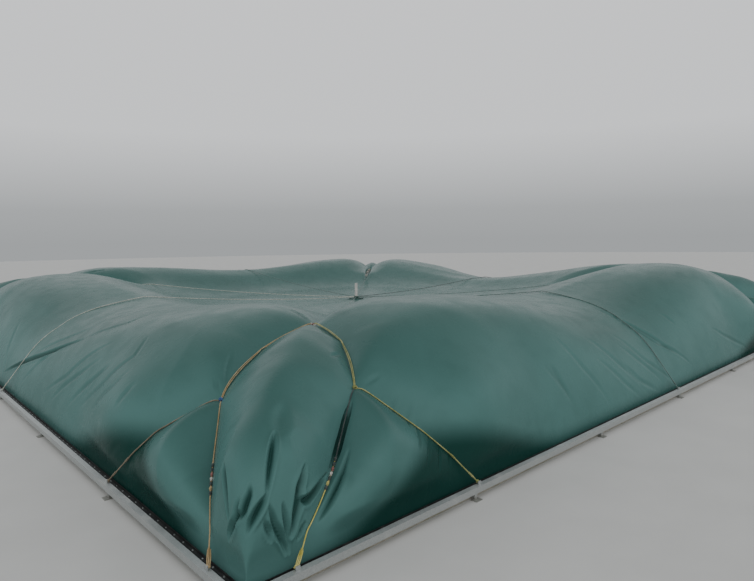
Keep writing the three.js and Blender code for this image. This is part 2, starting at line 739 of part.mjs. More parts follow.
SIDE_NAMES.forEach((name, side) => {
  addMesh(`kerb_${name}`, kerb(side), concrete);
  addMesh(`skirt_${name}`, skirt(side), black);
  addMesh(`clamp_angle_${name}`, clampAngle(side), steel);
  addMesh(`edge_rail_${name}`, rail(side), steel);
  addMesh(`cover_${name}_1`, lobe(side, 0), cover);
  addMesh(`cover_${name}_2`, lobe(side, 1), cover);
  addMesh(`corner_rope_${name}_1`, cornerRope(side, 0), rope);
  addMesh(`corner_rope_${name}_2`, cornerRope(side, 1), rope);
  addMesh(`middle_rope_${name}`, middleRope(side), rope);
});
CORNER_NAMES.forEach((name, corner) => {
  addMesh(`cover_corner_${name}`, cornerPanel(corner), cover);
  addMesh(`diagonal_rope_${name}`, diagonalRope(corner), rope);
});
addMesh("centre_pipe", centrePipe(), pale);
addMesh("centre_collar", centreCollar(), black);

export default part;
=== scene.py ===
"""Looks of a covered slurry tank: a gas-inflated membrane over a square store, held down by ropes.

All lengths are metres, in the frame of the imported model, with +Z up.
"""

import sys
import logging
import math
from dataclasses import dataclass, field
from enum import Enum
from functools import partial
from typing import Callable, Iterable, Sequence

import bpy
import numpy as np
from mathutils import Matrix, Vector


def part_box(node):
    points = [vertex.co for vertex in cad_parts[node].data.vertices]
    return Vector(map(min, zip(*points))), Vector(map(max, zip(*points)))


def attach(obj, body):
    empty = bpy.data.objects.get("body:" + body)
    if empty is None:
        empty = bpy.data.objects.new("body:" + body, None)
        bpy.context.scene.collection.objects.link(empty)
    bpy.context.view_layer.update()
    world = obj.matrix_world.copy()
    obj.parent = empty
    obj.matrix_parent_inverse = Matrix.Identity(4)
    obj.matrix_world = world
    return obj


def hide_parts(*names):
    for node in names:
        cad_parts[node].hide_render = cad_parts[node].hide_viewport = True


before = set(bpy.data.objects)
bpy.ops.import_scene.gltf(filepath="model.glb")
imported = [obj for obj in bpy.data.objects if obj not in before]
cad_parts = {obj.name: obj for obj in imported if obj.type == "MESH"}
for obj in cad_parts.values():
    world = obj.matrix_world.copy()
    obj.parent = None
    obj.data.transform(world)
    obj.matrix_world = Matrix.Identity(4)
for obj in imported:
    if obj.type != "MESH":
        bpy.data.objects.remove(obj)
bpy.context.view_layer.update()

BODY = "root"
SIDES = ("front", "right", "back", "left")
CORNERS = ("front_left", "front_right", "back_right", "back_left")

log = logging.getLogger("covered_tank")

Plan = tuple[float, float]
Colour = tuple[float, float, float]
Number = np.ndarray | float
Socket = bpy.types.NodeSocket
SKEW = (0.31, 0.17, 0.93)
TINY = 1e-12
STRANDS = 3
GROOVE_SHARPNESS = 6
# Places of the share, the two colours and the blended colour among a mix node's sockets
MIX_INPUTS = (0, 6, 7)
MIX_OUTPUT = 2


def smooth(share: Number) -> Number:
    """Ease a share between 0 and 1 at both ends."""
    return share * share * (3 - 2 * share)


def fade(value: Number, start: float, end: float) -> Number:
    """Go smoothly from 0, where the value is at start, to 1, where it is at end."""
    return smooth(np.clip((value - start) / (end - start), 0, 1))


def mix(a: Number, b: Number, share: Number) -> Number:
    """Blend a into b by a share."""
    return a + (b - a) * share


def unit(rows: np.ndarray) -> np.ndarray:
    """Scale a vector, or each row of vectors, to a length of 1."""
    return rows / np.maximum(np.linalg.norm(rows, axis=-1, keepdims=True), TINY)


def distances(path: np.ndarray) -> np.ndarray:
    """Give the distance of each point of a path from its start, measured along it."""
    return np.concatenate([[0], np.cumsum(np.linalg.norm(np.diff(path, axis=0), axis=1))])


def circle(count: int, closed: bool = False) -> np.ndarray:
    """Give the angles of points round a circle, the first again at the end where it is closed."""
    return np.linspace(0, 2 * np.pi, count, endpoint=closed)


def along_line(points: Sequence[Plan], share: float) -> Plan:
    """Find the point a share of the way along a line of plan points.

    Args:
        points: The line's corners.
        share: How far along its length, from 0 to 1.

    Returns:
        The plan point.
    """
    lengths = [math.dist(a, b) for a, b in zip(points, points[1:])]
    left = share * sum(lengths)
    for a, b, length in zip(points, points[1:], lengths):
        if left <= length:
            return mix(a[0], b[0], left / length), mix(a[1], b[1], left / length)
        left -= length
    return points[-1]


# The cover's shape


@dataclass(frozen=True)
class Crease:
    """A line that a rope presses into the cover: stations of x, y, level and width.

    The level is a height, or for a rounded crease a share of the height that the cover has without it.
    """

    stations: tuple[tuple[float, float, float, float], ...]
    rounded: bool


@dataclass(frozen=True)
class CoverShape:
    """The inflated cover as a surface over the plan of the store."""

    foot_half: float = 13.25
    foot_z: float = 0.0903
    foot_edge: float = 0.0002
    rise_length: float = 3.75
    rise_power: float = 3.5
    basin_start: float = 7.0
    basin_z: float = 1.85
    soft_rise: float = 0.8
    lean: float = 0.75
    lean_at_petal: float = 0.3
    lean_at_middle: float = 0.0
    flank_turn: Plan = (3.4, 7.5)
    lean_depth: float = 1.6
    lean_at_ropes: float = 0.1
    lean_start_z: float = 0.16
    lean_full_z: float = 0.62
    petal_turn: Plan = (0.3, 2.2)
    corner_rise: float = 0.5
    corner_power: float = 3.0
    least_gap: float = 1e-4
    widest_reach: float = 6.0
    crease_power: float = 8.0
    rounded_end: float = 0.35
    flat_radius: float = 0.78
    flat_blend: float = 0.9
    hole_radius: float = 0.18
    node_inset: float = 4.25
    junction: Plan = (2.85, 1.25)
    junction_z: float = 2.0
    low_fork: tuple[int, int] = (3, 1)
    low_fork_drop: float = 0.2
    low_bend_drop: float = 0.15
    bend: Plan = (3.65, 2.55)
    side_anchor: float = 4.2
    corner_anchor: float = 0.9
    bend_fall: float = 0.95
    fork_width: float = 0.7
    side_widths: tuple[float, ...] = (1.05, 1.1, 0.75)
    corner_widths: tuple[float, ...] = (0.6, 0.4)
    side_bend: Plan = (0.6, 1.15)
    corner_bend: Plan = (0.55, 1.0)
    side_end_z: float = 0.5
    corner_end_z: float = 0.45
    crest_turn: float = 22.5
    node_width: float = 0.58
    bend_width: float = 0.8
    diagonal_inwards: Plan = (7.25, 10.25)
    diagonal_fall: float = 0.6
    diagonal_widths: tuple[float, ...] = (0.69, 0.83, 0.93)
    middle_inwards: tuple[float, ...] = (1.25, 4.05, 7.25, 10.25)
    middle_widths: tuple[float, ...] = (3.4, 4.25, 4.9, 4.7, 4.25, 3.8)
    crests: tuple[float, ...] = (3.18, 3.47, 3.18, 3.17, 3.30, 3.35, 3.17, 2.84)
    node_z: tuple[float, ...] = (2.55, 2.5, 2.45, 2.55)
    diagonal_z: tuple[float, ...] = (2.2, 2.35, 2.45, 2.55)
    saddle_z: tuple[float, ...] = (2.67, 2.3, 2.85, 2.61)
    shoulder_share: float = 0.69
    slope_z: float = 2.3
    low_z: float = 2.0

    def plan_point(self, side: int, end: int, along: float, inward: float) -> Plan:
        """Place a point that is given along one side and in from the cover's foot.

        Args:
            side: Number of the side, 0 at the front.
            end: 0 to count from the side's left end, 1 from its right end.
            along: Distance along the foot from that end.
            inward: Distance in from the foot.

        Returns:
            The plan point.
        """
        x = along - self.foot_half if end == 0 else self.foot_half - along
        y = inward - self.foot_half
        cos, sin = (1, 0, -1, 0)[side], (0, 1, 0, -1)[side]
        return cos * x - sin * y, sin * x + cos * y

    def _crease(self, side: int, end: int, stations: Iterable[tuple], rounded: bool) -> Crease:
        """Turn stations of along, inward, height and width into a crease of the whole plan."""
        placed = tuple((*self.plan_point(side, end, a, i), z, width) for a, i, z, width in stations)
        return Crease(placed, rounded)

    def _corner_creases(self, side: int, end: int) -> list[Crease]:
        """Lay the creases under the forked rope at one end of a side.

        Args:
            side: Number of the side.
            end: End of the side.

        Returns:
            The upper crease, and the two from the fork down to the foot.
        """
        node_z = self.node_z[(side + end) % 4]
        inset = self.node_inset
        low = (side, end) == self.low_fork
        fork = (*self.junction, self.junction_z - low * self.low_fork_drop)
        bend_z = node_z * self.bend_fall - low * self.low_bend_drop

        def lower(anchor: float, share: float) -> Plan:
            """Point a share of the way down from the fork to an anchor."""
            return mix(self.junction[0], anchor, share), self.junction[1] * (1 - share)

        upper = [
            (inset, inset, node_z, self.node_width),
            (*self.bend, bend_z, self.bend_width),
            (*fork, self.fork_width),
        ]
        to_side = [
            (*fork, self.side_widths[0]),
            (*lower(self.side_anchor, self.side_bend[0]), self.side_bend[1], self.side_widths[1]),
            (self.side_anchor, 0, self.side_end_z, self.side_widths[2]),
        ]
        to_corner = [
            (*fork, self.fork_width),
            (*lower(self.corner_anchor, self.corner_bend[0]), self.corner_bend[1], self.corner_widths[0]),
            (self.corner_anchor, 0, self.corner_end_z, self.corner_widths[1]),
        ]
        return [self._crease(side, end, line, False) for line in (upper, to_side, to_corner)]

    def creases(self) -> list[Crease]:
        """List every crease of the cover.

        Returns:
            The creases of all four sides.
        """
        out = []
        far, foot, basin = self.foot_half, self.foot_z, self.basin_z
        for side in range(4):
            out += self._corner_creases(side, 0) + self._corner_creases(side, 1)
            inner, saddle, inset = self.diagonal_z[side], self.saddle_z[side], self.node_inset
            wide = self.diagonal_widths
            near_in, far_in = self.diagonal_inwards
            diagonal = [
                (inset, inset, self.node_z[side], self.node_width),
                (near_in, near_in, inner, wide[0]),
                (far_in, far_in, mix(inner, basin, self.diagonal_fall), wide[1]),
                (far, far, basin, wide[2]),
            ]
            inwards = self.middle_inwards
            levels = (saddle * self.shoulder_share, saddle, self.slope_z, self.low_z)
            places = np.array([self.plan_point(side, 0, far, i) for i in inwards])
            free = self.free_height(places[:, 0], places[:, 1])
            shares = [min((z - foot) / (whole - foot), 1) for z, whole in zip(levels, free)]
            stations = zip((0, *inwards, far), (shares[0], *shares, 1), self.middle_widths)
            middle = [(far, i, share, width) for i, share, width in stations]
            out += [self._crease(side, 0, diagonal, False), self._crease(side, 0, middle, True)]
        return out

    def from_foot(self, x: np.ndarray, y: np.ndarray) -> tuple[np.ndarray, np.ndarray, np.ndarray]:
        """Measure the distance in from the foot, rounded at the corners, and the way out.

        Args:
            x: Plan x of the points.
            y: Plan y of the points.

        Returns:
            The distances, and the two parts of the outward direction.
        """
        gaps = [np.maximum(self.foot_half + s * v, self.least_gap) for v in (x, y) for s in (-1, 1)]
        distance = sum(d**-self.corner_power for d in gaps) ** (-1 / self.corner_power)
        right, left, back, front = ((distance / d) ** (self.corner_power + 1) for d in gaps)
        return distance, right - left, back - front

    def from_corner(self, x: np.ndarray, y: np.ndarray) -> np.ndarray:
        """Measure how far along a side the nearer corner is."""
        return self.foot_half - np.minimum(np.abs(x), np.abs(y))

    def _crest_at(self, x: np.ndarray, y: np.ndarray) -> np.ndarray:
        """Find the height of the ring's crest in the direction of each plan point.

        Args:
            x: Plan x of the points.
            y: Plan y of the points.

        Returns:
            The heights.
        """
        around = np.degrees(np.arctan2(y, x) + np.pi * 0.75) % 360
        turn = around % 90
        share = np.interp(np.abs(turn - 45), (0, self.crest_turn, 45), (0, 0.5, 1))
        place = 2 * np.floor(around / 90) + 1 + np.where(turn < 45, -share, share) - 0.5
        lower = np.floor(place).astype(int)
        crests = np.array(self.crests)
        blend = 0.5 - 0.5 * np.cos(np.pi * (place - lower))
        return mix(crests[lower % 8], crests[(lower + 1) % 8], blend)

    def free_height(self, x: np.ndarray, y: np.ndarray) -> np.ndarray:
        """Find how high the cover would stand without ropes.

        Args:
            x: Plan x of the points.
            y: Plan y of the points.

        Returns:
            The heights.
        """
        distance = self.from_foot(x, y)[0]
        crest = self._crest_at(x, y)
        share = np.clip((distance - self.foot_edge) / self.rise_length, 0, 1)
        steep = 1 - (1 - share) ** self.rise_power
        off_corner = fade(self.from_corner(x, y), *self.flank_turn)
        rise = mix(steep**self.corner_rise, steep**self.soft_rise, off_corner)
        fall = fade(distance, self.rise_length, self.basin_start)
        return self.foot_z + (crest - self.foot_z) * rise - (crest - self.basin_z) * fall

    def creased_height(self, x: np.ndarray, y: np.ndarray) -> tuple[np.ndarray, np.ndarray]:
        """Find the height with the ropes' creases, and how near a rope each point is.

        Args:
            x: Plan x of the points.
            y: Plan y of the points.

        Returns:
            The heights, and shares that are 1 under a rope.
        """
        total = np.zeros_like(x)
        near = np.zeros_like(x)
        uncreased = self.free_height(x, y)
        for crease in self.creases():
            deepest = np.zeros_like(x)
            beyond = self.rounded_end if crease.rounded else 1.0
            for a, b in zip(crease.stations, crease.stations[1:]):
                length = math.dist(a[:2], b[:2])
                way = ((b[0] - a[0]) / length, (b[1] - a[1]) / length)
                run = (x - a[0]) * way[0] + (y - a[1]) * way[1]
                t = np.clip(run / length, 0, 1)
                across = (x - a[0]) * way[1] - (y - a[1]) * way[0]
                reach = np.hypot(across, (run - t * length) / beyond) / mix(a[3], b[3], t)
                close = reach < self.widest_reach
                t, reach = t[close], reach[close]
                level = mix(a[2], b[2], t)
                if crease.rounded:
                    depth = (1 - level) * (uncreased[close] - self.foot_z) * np.exp(-(reach**2))
                else:
                    free = self.free_height(mix(a[0], b[0], t), mix(a[1], b[1], t))
                    share = np.exp(-reach)
                    depth = np.maximum(free - level, 0) * share
                    near[close] = np.maximum(near[close], share)
                deepest[close] = np.maximum(deepest[close], depth)
            total += deepest**self.crease_power
        creased = uncreased - total ** (1 / self.crease_power)
        flat = 1 - fade(np.hypot(x, y), self.flat_radius, self.flat_radius + self.flat_blend)
        return mix(np.maximum(creased, self.foot_z), self.basin_z, flat), near

    def surface(self, x: np.ndarray, y: np.ndarray) -> np.ndarray:
        """Place plan points on the cover.

        Args:
            x: Plan x of the points.
            y: Plan y of the points.

        Returns:
            One row of x, y and z for each point.
        """
        z, near = self.creased_height(x, y)
        distance, out_x, out_y = self.from_foot(x, y)
        t = np.clip(distance / self.lean_depth, 0, 1)
        along = self.from_corner(x, y)
        most = mix(self.lean, self.lean_at_middle, fade(along, *self.flank_turn))
        most = mix(self.lean_at_petal, most, fade(along, *self.petal_turn))
        lean = 2 * most * np.sin(np.pi * t) * (1 - t) ** 2 * mix(1, self.lean_at_ropes, near)
        lean *= fade(z, self.lean_start_z, self.lean_full_z)
        return np.stack([x + out_x * lean, y + out_y * lean, z], -1)

    def points(self, side: int, end: int, stations: Sequence[Plan]) -> np.ndarray:
        """Place stations of along and inward, counted from one end of a side, on the cover."""
        plan = np.array([self.plan_point(side, end, a, i) for a, i in stations])
        return self.surface(plan[:, 0], plan[:, 1])

    def normals(self, x: np.ndarray, y: np.ndarray, step: float = 0.05) -> np.ndarray:
        """Find the outward direction of the cover, averaged over a small step.

        Args:
            x: Plan x of the points.
            y: Plan y of the points.
            step: Half the distance that the slope is taken over.

        Returns:
            One unit row for each point.
        """
        edge = self.foot_half
        sides = [
            self.surface(np.clip(x + dx, -edge, edge), np.clip(y + dy, -edge, edge))
            for dx, dy in ((step, 0), (-step, 0), (0, step), (0, -step))
        ]
        return unit(np.cross(sides[0] - sides[1], sides[2] - sides[3]))


# Meshes


@dataclass
class Sketch:
    """Points and faces of one piece while it is put together."""

    points: list[np.ndarray] = field(default_factory=list)
    faces: list[np.ndarray] = field(default_factory=list)
    finishes: list[np.ndarray] = field(default_factory=list)
    count: int = 0

    def add(self, points: np.ndarray, *faces: np.ndarray, finish: int = 0) -> None:
        """Add points and the faces between them.

        Args:
            points: One row for each point.
            *faces: Triangles or quads, as rows of indices into these points.
            finish: Number of the material among the piece's materials.
        """
        for rows in faces:
            self.faces.append(np.asarray(rows, dtype=int) + self.count)
            self.finishes.append(np.full(len(rows), finish))
        self.points.append(np.asarray(points, dtype=float))
        self.count += len(points)

    def add_tube(
        self, path: np.ndarray, radius: float, finish: int, sides: int, turns: float = 0, groove: float = 0
    ) -> None:
        """Sweep a round or stranded section along a path, and close its ends.

        Args:
            path: One row for each point of the middle line.
            radius: Radius of the section.
            finish: Number of the material.
            sides: Points round the section.
            turns: How often the strands wind round each metre.
            groove: Depth of the grooves between the strands, as a share of the radius.
        """
        tangent = unit(np.gradient(path, axis=0))
        across = np.cross(tangent[0], SKEW)
        frames = []
        for direction in tangent:
            across = unit(across - direction * across.dot(direction))
            frames.append((across, np.cross(direction, across)))
        first, second = np.array(frames).transpose(1, 0, 2)[:, :, None]
        angle = circle(sides)[:, None]
        twist = 2 * np.pi * turns * distances(path)[:, None, None]
        size = radius * (1 - groove * np.abs(np.sin(STRANDS / 2 * (angle - twist))) ** GROOVE_SHARPNESS)
        points = path[:, None] + size * (np.cos(angle) * first + np.sin(angle) * second)
        start = np.arange(len(path) - 1)[:, None] * sides
        here = np.arange(sides)
        after = (here + 1) % sides
        wall = np.stack([start + here, start + after, start + sides + after, start + sides + here], -1)
        tip = np.full(sides, len(path) * sides)
        last = start[-1] + sides
        ends = [np.stack([tip, after, here], -1), np.stack([tip + 1, last + here, last + after], -1)]
        points = np.concatenate([points.reshape(-1, 3), path[[0, -1]]])
        self.add(points, wall.reshape(-1, 4), *ends, finish=finish)

    def build(
        self, name: str, materials: Sequence[bpy.types.Material], smooth_angle: float = 40
    ) -> bpy.types.Object:
        """Make the object and link it to the scene.

        Args:
            name: Name of the piece.
            materials: Its materials, in the order of the finish numbers.
            smooth_angle: Edges sharper than this, in degrees, stay sharp.

        Returns:
            The new object.
        """
        corners = np.concatenate([f.ravel() for f in self.faces])
        sizes = np.concatenate([np.full(len(f), f.shape[1]) for f in self.faces])
        mesh = bpy.data.meshes.new(name)
        points = np.concatenate(self.points)
        mesh.vertices.add(len(points))
        mesh.vertices.foreach_set("co", points.ravel())
        mesh.loops.add(len(corners))
        mesh.loops.foreach_set("vertex_index", corners)
        mesh.polygons.add(len(sizes))
        mesh.polygons.foreach_set("loop_start", np.concatenate([[0], np.cumsum(sizes)[:-1]]))
        mesh.polygons.foreach_set("material_index", np.concatenate(self.finishes))
        mesh.update(calc_edges=True)
        mesh.validate()
        for material in materials:
            mesh.materials.append(material)
        mesh.shade_smooth()
        mesh.set_sharp_from_angle(angle=math.radians(smooth_angle))
        piece = bpy.data.objects.new(name, mesh)
        bpy.context.scene.collection.objects.link(piece)
        return piece


def resample(path: np.ndarray, spacing: float) -> np.ndarray:
    """Space a path's points evenly along a smooth curve through them.

    Args:
        path: One row for each point.
        spacing: Distance between the new points.

    Returns:
        The new path.
    """
    run = distances(path)
    count = max(int(run[-1] / spacing), 3)
    places = np.linspace(0, run[-1], count + 1)
    slope = np.gradient(path, run, axis=0)
    index = np.clip(np.searchsorted(run, places, side="right") - 1, 0, len(path) - 2)
    width = (run[index + 1] - run[index])[:, None]
    t = (places - run[index])[:, None] / width
    a, b = path[index], path[index + 1]
    ma, mb = slope[index] * width, slope[index + 1] * width
    return (
        (2 * t**3 - 3 * t**2 + 1) * a
        + (t**3 - 2 * t**2 + t) * ma
        + (3 * t**2 - 2 * t**3) * b
        + (t**3 - t**2) * mb
    )


# Finishes


class Recipe:
    """A material's node tree while it is put together."""

    def __init__(self, name: str) -> None:
        """Start a material with its shader.

        Args:
            name: Name of the material.
        """
        self.material = bpy.data.materials.new(name)
        self.material.use_nodes = True
        self.tree = self.material.node_tree
        self.shader = self.tree.nodes["Principled BSDF"]
        self.place = self.tree.nodes.new("ShaderNodeTexCoord").outputs["Object"]

    def put(self, value: object, socket: Socket) -> None:
        """Link a socket to a node's output, or set it to a plain value or colour.

        Args:
            value: A node's output, a number or a colour.
            socket: The input that takes it.
        """
        if isinstance(value, bpy.types.NodeSocket):
            self.tree.links.new(value, socket)
        else:
            socket.default_value = (*value, 1) if socket.type == "RGBA" else value

    def node(self, kind: str, output: str, **inputs: object) -> Socket:
        """Add a node and fill its inputs.

        Args:
            kind: Its type, without the word ShaderNode.
            output: Name of the output that is wanted.
            **inputs: Values or sockets, by the inputs' names with underscores for spaces.

        Returns:
            That output.
        """
        node = self.tree.nodes.new("ShaderNode" + kind)
        for name, value in inputs.items():
            self.put(value, node.inputs[name.replace("_", " ")])
        return node.outputs[output]

    def noise(self, scale: float, detail: float = 4, rough: float = 0.55) -> Socket:
        """Add a noise pattern with finer layers of some detail and roughness."""
        return self.node("TexNoise", "Fac", Scale=scale, Detail=detail, Roughness=rough, Vector=self.place)

    def cells(self, scale: float) -> Socket:
        """Add a pattern of cells that each have one value."""
        cells = self.node("TexVoronoi", "Color", Scale=scale, Vector=self.place)
        return self.node("SeparateColor", "Red", Color=cells)

    def axis(self, name: str, of: str = "Position") -> Socket:
        """Give the X, Y or Z part of the surface's Position or Normal."""
        return self.node("SeparateXYZ", name, Vector=self.node("NewGeometry", of))

    def stored(self, name: str) -> Socket:
        """Give a value that the mesh stores at its points.

        Args:
            name: Name of the value.

        Returns:
            The value.
        """
        value = self.node("Attribute", "Fac")
        value.node.attribute_name = name
        return value

    def span(self, value: Socket, low: float, high: float, out: Plan = (0.0, 1.0)) -> Socket:
        """Map a range of a value to another range, smoothly and within its ends.

        Args:
            value: The value to map.
            low: Where the range starts.
            high: Where it ends.
            out: What these two become.

        Returns:
            The mapped value.
        """
        ends = {"From_Min": low, "From_Max": high, "To_Min": out[0], "To_Max": out[1]}
        mapped = self.node("MapRange", "Result", Value=value, **ends)
        mapped.node.interpolation_type = "SMOOTHSTEP"
        return mapped

    def combine(self, how: str, a: object, b: object = 0.0) -> Socket:
        """Combine two values, or work on one.

        Args:
            how: Name of the operation.
            a: First value.
            b: Second value.

        Returns:
            The result.
        """
        result = self.node("Math", "Value")
        result.node.operation = how
        self.put(a, result.node.inputs[0])
        self.put(b, result.node.inputs[1])
        return result

    def blend(self, share: object, a: object, b: object) -> Socket:
        """Blend two colours.

        Args:
            share: How much of the second shows.
            a: First colour.
            b: Second colour.

        Returns:
            The blended colour.
        """
        node = self.tree.nodes.new("ShaderNodeMix")
        node.data_type = "RGBA"
        for value, number in zip((share, a, b), MIX_INPUTS):
            self.put(value, node.inputs[number])
        return node.outputs[MIX_OUTPUT]

    def tint(
        self, colour: object, other: Colour, value: Socket, low: float, high: float, out: Plan = (0.0, 1.0)
    ) -> Socket:
        """Blend a colour towards another over a range of a value."""
        return self.blend(self.span(value, low, high, out), colour, other)

    def bumps(self, height: Socket, distance: float, strength: float = 1.0) -> None:
        """Raise the surface by a height pattern, over what was raised before.

        Args:
            height: The pattern.
            distance: How much a height of 1 raises it.
            strength: How strongly it shows.
        """
        raised = self.node("Bump", "Normal", Distance=distance, Strength=strength, Height=height)
        normal = self.shader.inputs["Normal"]
        if normal.is_linked:
            self.put(normal.links[0].from_socket, raised.node.inputs["Normal"])
        self.put(raised, normal)

    def finish(self, colour: object, roughness: object, **inputs: float) -> bpy.types.Material:
        """Set the shader's inputs and close the recipe.

        Args:
            colour: Base colour.
            roughness: Roughness.
            **inputs: Other inputs, with underscores for spaces.

        Returns:
            The material.
        """
        for name, value in {"Base_Color": colour, "Roughness": roughness, **inputs}.items():
            self.put(value, self.shader.inputs[name.replace("_", " ")])
        return self.material


FOLD_PAINTED_SHADE = "fold_painted_shade"


@dataclass(frozen=True)
class MembraneFinish:
    """Green coated membrane, satin: painted light makes its sides lighter than its top; paler patches on
    top, part soiling and part painted sheen; darker low down near the corners; painted shade where it turns
    in and in its folds.
    """

    # Painted light: the base colour is lighter where the cover faces sideways (beside) and darker where it
    # faces up (above).
    beside: Colour = (0.080, 0.182, 0.168)
    above: Colour = (0.043, 0.110, 0.097)
    # Darkest green: random mottling, the darker band low down, and painted shade where the cover turns in
    # and in its folds.
    deep: Colour = (0.004, 0.034, 0.026)
    dust_and_sheen: Colour = (0.08, 0.17, 0.15)
    roughness: float = 0.27
    corner_band: Plan = (9.4, 12.5)
    corner_band_z: Plan = (1.1, 0.0)
    middle_band: Plan = (5.5, 9.3)
    middle_band_share: Plan = (0.15, 1.0)
    fold_shade_strength: float = 0.75

    def _shade(self, recipe: Recipe, up: Socket) -> Socket:
        """Find how dark each place is: darker low down near the corners, and painted shade where the cover
        turns in and in the folds.

        Args:
            recipe: The material's recipe.
            up: The upward part of the surface's direction.

        Returns:
            The share of the deep colour.
        """
        x, y = (recipe.combine("ABSOLUTE", recipe.axis(name)) for name in "XY")
        nearer = recipe.combine("MINIMUM", x, y)
        corner = recipe.span(nearer, *self.corner_band, self.corner_band_z)
        middle = recipe.span(nearer, *self.middle_band, self.middle_band_share)
        limit = recipe.combine("MULTIPLY", corner, middle)
        # Darker low down, up to a height that rises towards the corners.
        low = recipe.span(recipe.combine("SUBTRACT", recipe.axis("Z"), limit), -0.25, 0.3, (0.9, 0.0))
        # Painted shade: darker where the cover faces down as it turns in at its foot.
        turned_in_painted_shade = recipe.span(up, -0.15, 0.15, (0.35, 0.0))
        # Painted shade in the folds, read from the share stored on the mesh.
        fold_shade_share = recipe.combine("MULTIPLY", recipe.stored(FOLD_PAINTED_SHADE), self.fold_shade_strength)
        return recipe.combine("MAXIMUM", recipe.combine("MAXIMUM", low, turned_in_painted_shade), fold_shade_share)

    def make(self) -> bpy.types.Material:
        """Build the material.

        Returns:
            The membrane's material.
        """
        recipe = Recipe("membrane_green")
        broad = recipe.noise(0.35, 3, 0.5)
        cloudy = recipe.noise(2.2)
        up = recipe.axis("Z", "Normal")
        # Painted light: blend from the lighter side colour to the darker top colour as the surface turns to
        # face up.
        colour = recipe.tint(self.beside, self.above, up, 0.5, 1.0)
        colour = recipe.tint(colour, self.deep, broad, 0.4, 0.7, (0.0, 0.14))
        colour = recipe.tint(colour, self.deep, cloudy, 0.4, 0.75, (0.0, 0.08))
        # Blend to the deep colour by the share from _shade: darker low down, and painted shade where the
        # cover turns in and in its folds.
        colour = recipe.blend(self._shade(recipe, up), colour, self.deep)
        # Soiling and painted sheen: a paler colour in patches on faces that look straight up.
        patches = recipe.span(cloudy, 0.3, 0.7, (0.04, 0.14))
        dust_and_sheen_share = recipe.combine("MULTIPLY", recipe.span(up, 0.92, 1.0), patches)
        colour = recipe.blend(dust_and_sheen_share, colour, self.dust_and_sheen)
        rough = recipe.combine("ADD", recipe.span(cloudy, 0.3, 0.75, (-0.03, 0.06)), self.roughness)
        recipe.bumps(recipe.noise(1.6, 2, 0.4), 0.003, 0.5)
        recipe.bumps(recipe.noise(160, 2, 0.5), 0.0002, 0.15)
        return recipe.finish(colour, rough, Specular_IOR_Level=0.05)


@dataclass(frozen=True)
class GalvanisedFinish:
    """Hot-dip galvanised steel with a faint crystal pattern, white stains and soil splashed on."""

    light: Colour = (0.46, 0.48, 0.47)
    dark: Colour = (0.27, 0.29, 0.29)
    stain: Colour = (0.62, 0.62, 0.58)
    soil: Colour = (0.2, 0.19, 0.15)
    metallic: float = 0.55
    roughness: float = 0.45

    def make(self) -> bpy.types.Material:
        """Build the material.

        Returns:
            The steel's material.
        """
        recipe = Recipe("galvanised_steel")
        patches = recipe.noise(3)
        colour = recipe.tint(self.light, self.dark, recipe.cells(90), 0.0, 1.0, (0.1, 0.5))
        colour = recipe.tint(colour, self.stain, patches, 0.55, 0.75, (0.0, 0.3))
        uneven = recipe.combine("MULTIPLY", recipe.noise(14, 3), 0.05)
        height = recipe.combine("ADD", recipe.axis("Z"), uneven)
        colour = recipe.tint(colour, self.soil, height, 0.04, 0.12, (0.55, 0.0))
        rough = recipe.combine("ADD", recipe.span(patches, 0.4, 0.75, (0.0, 0.2)), self.roughness)
        recipe.bumps(recipe.noise(60, 3), 0.0006, 0.5)
        return recipe.finish(colour, rough, Metallic=self.metallic)


@dataclass(frozen=True)
class ConcreteFinish:
    """Weathered cast concrete, green with algae."""

    light: Colour = (0.43, 0.40, 0.33)
    dark: Colour = (0.25, 0.24, 0.19)
    algae: Colour = (0.14, 0.16, 0.08)

    def make(self) -> bpy.types.Material:
        """Build the material.

        Returns:
            The concrete's material.
        """
        recipe = Recipe("weathered_concrete")
        grain = recipe.noise(45, 6, 0.65)
        colour = recipe.tint(self.dark, self.light, grain, 0.3, 0.7)
        colour = recipe.tint(colour, self.algae, recipe.noise(1.6, 5, 0.6), 0.45, 0.75, (0.0, 0.6))
        recipe.bumps(grain, 0.003)
        recipe.bumps(recipe.noise(220, 2), 0.0008)
        return recipe.finish(colour, recipe.span(grain, 0.2, 0.8, (0.82, 0.95)))


@dataclass(frozen=True)
class PlainFinish:
    """Rubber or plastic with slight mottling and fine texture."""

    name: str
    colour: Colour
    worn: Colour
    roughness: float = 0.6
    grain: float = 120.0

    def make(self) -> bpy.types.Material:
        """Build the material.

        Returns:
            The material.
        """
        recipe = Recipe(self.name)
        mottle = recipe.noise(7, 5, 0.6)
        colour = recipe.tint(self.colour, self.worn, mottle, 0.42, 0.72)
        recipe.bumps(recipe.noise(self.grain, 3), 0.0008, 0.6)
        rough = recipe.span(mottle, 0.3, 0.8, (self.roughness - 0.08, self.roughness + 0.12))
        return recipe.finish(colour, rough)


@dataclass(frozen=True)
class RopeFinish:
    """Laid synthetic rope: bleached fibres over its own colour, dirt between the strands."""

    name: str
    colour: Colour
    faded: Colour

    def make(self) -> bpy.types.Material:
        """Build the material.

        Returns:
            The rope's material.
        """
        recipe = Recipe(self.name)
        fibres = recipe.noise(420, 3, 0.7)
        dirt = tuple(0.4 * part for part in self.colour)
        colour = recipe.tint(self.colour, self.faded, recipe.noise(6), 0.35, 0.7)
        colour = recipe.tint(colour, dirt, fibres, 0.45, 0.8, (0.0, 0.45))
        recipe.bumps(fibres, 0.0012)
        return recipe.finish(colour, 0.85, Sheen_Weight=0.2, Sheen_Roughness=0.5)


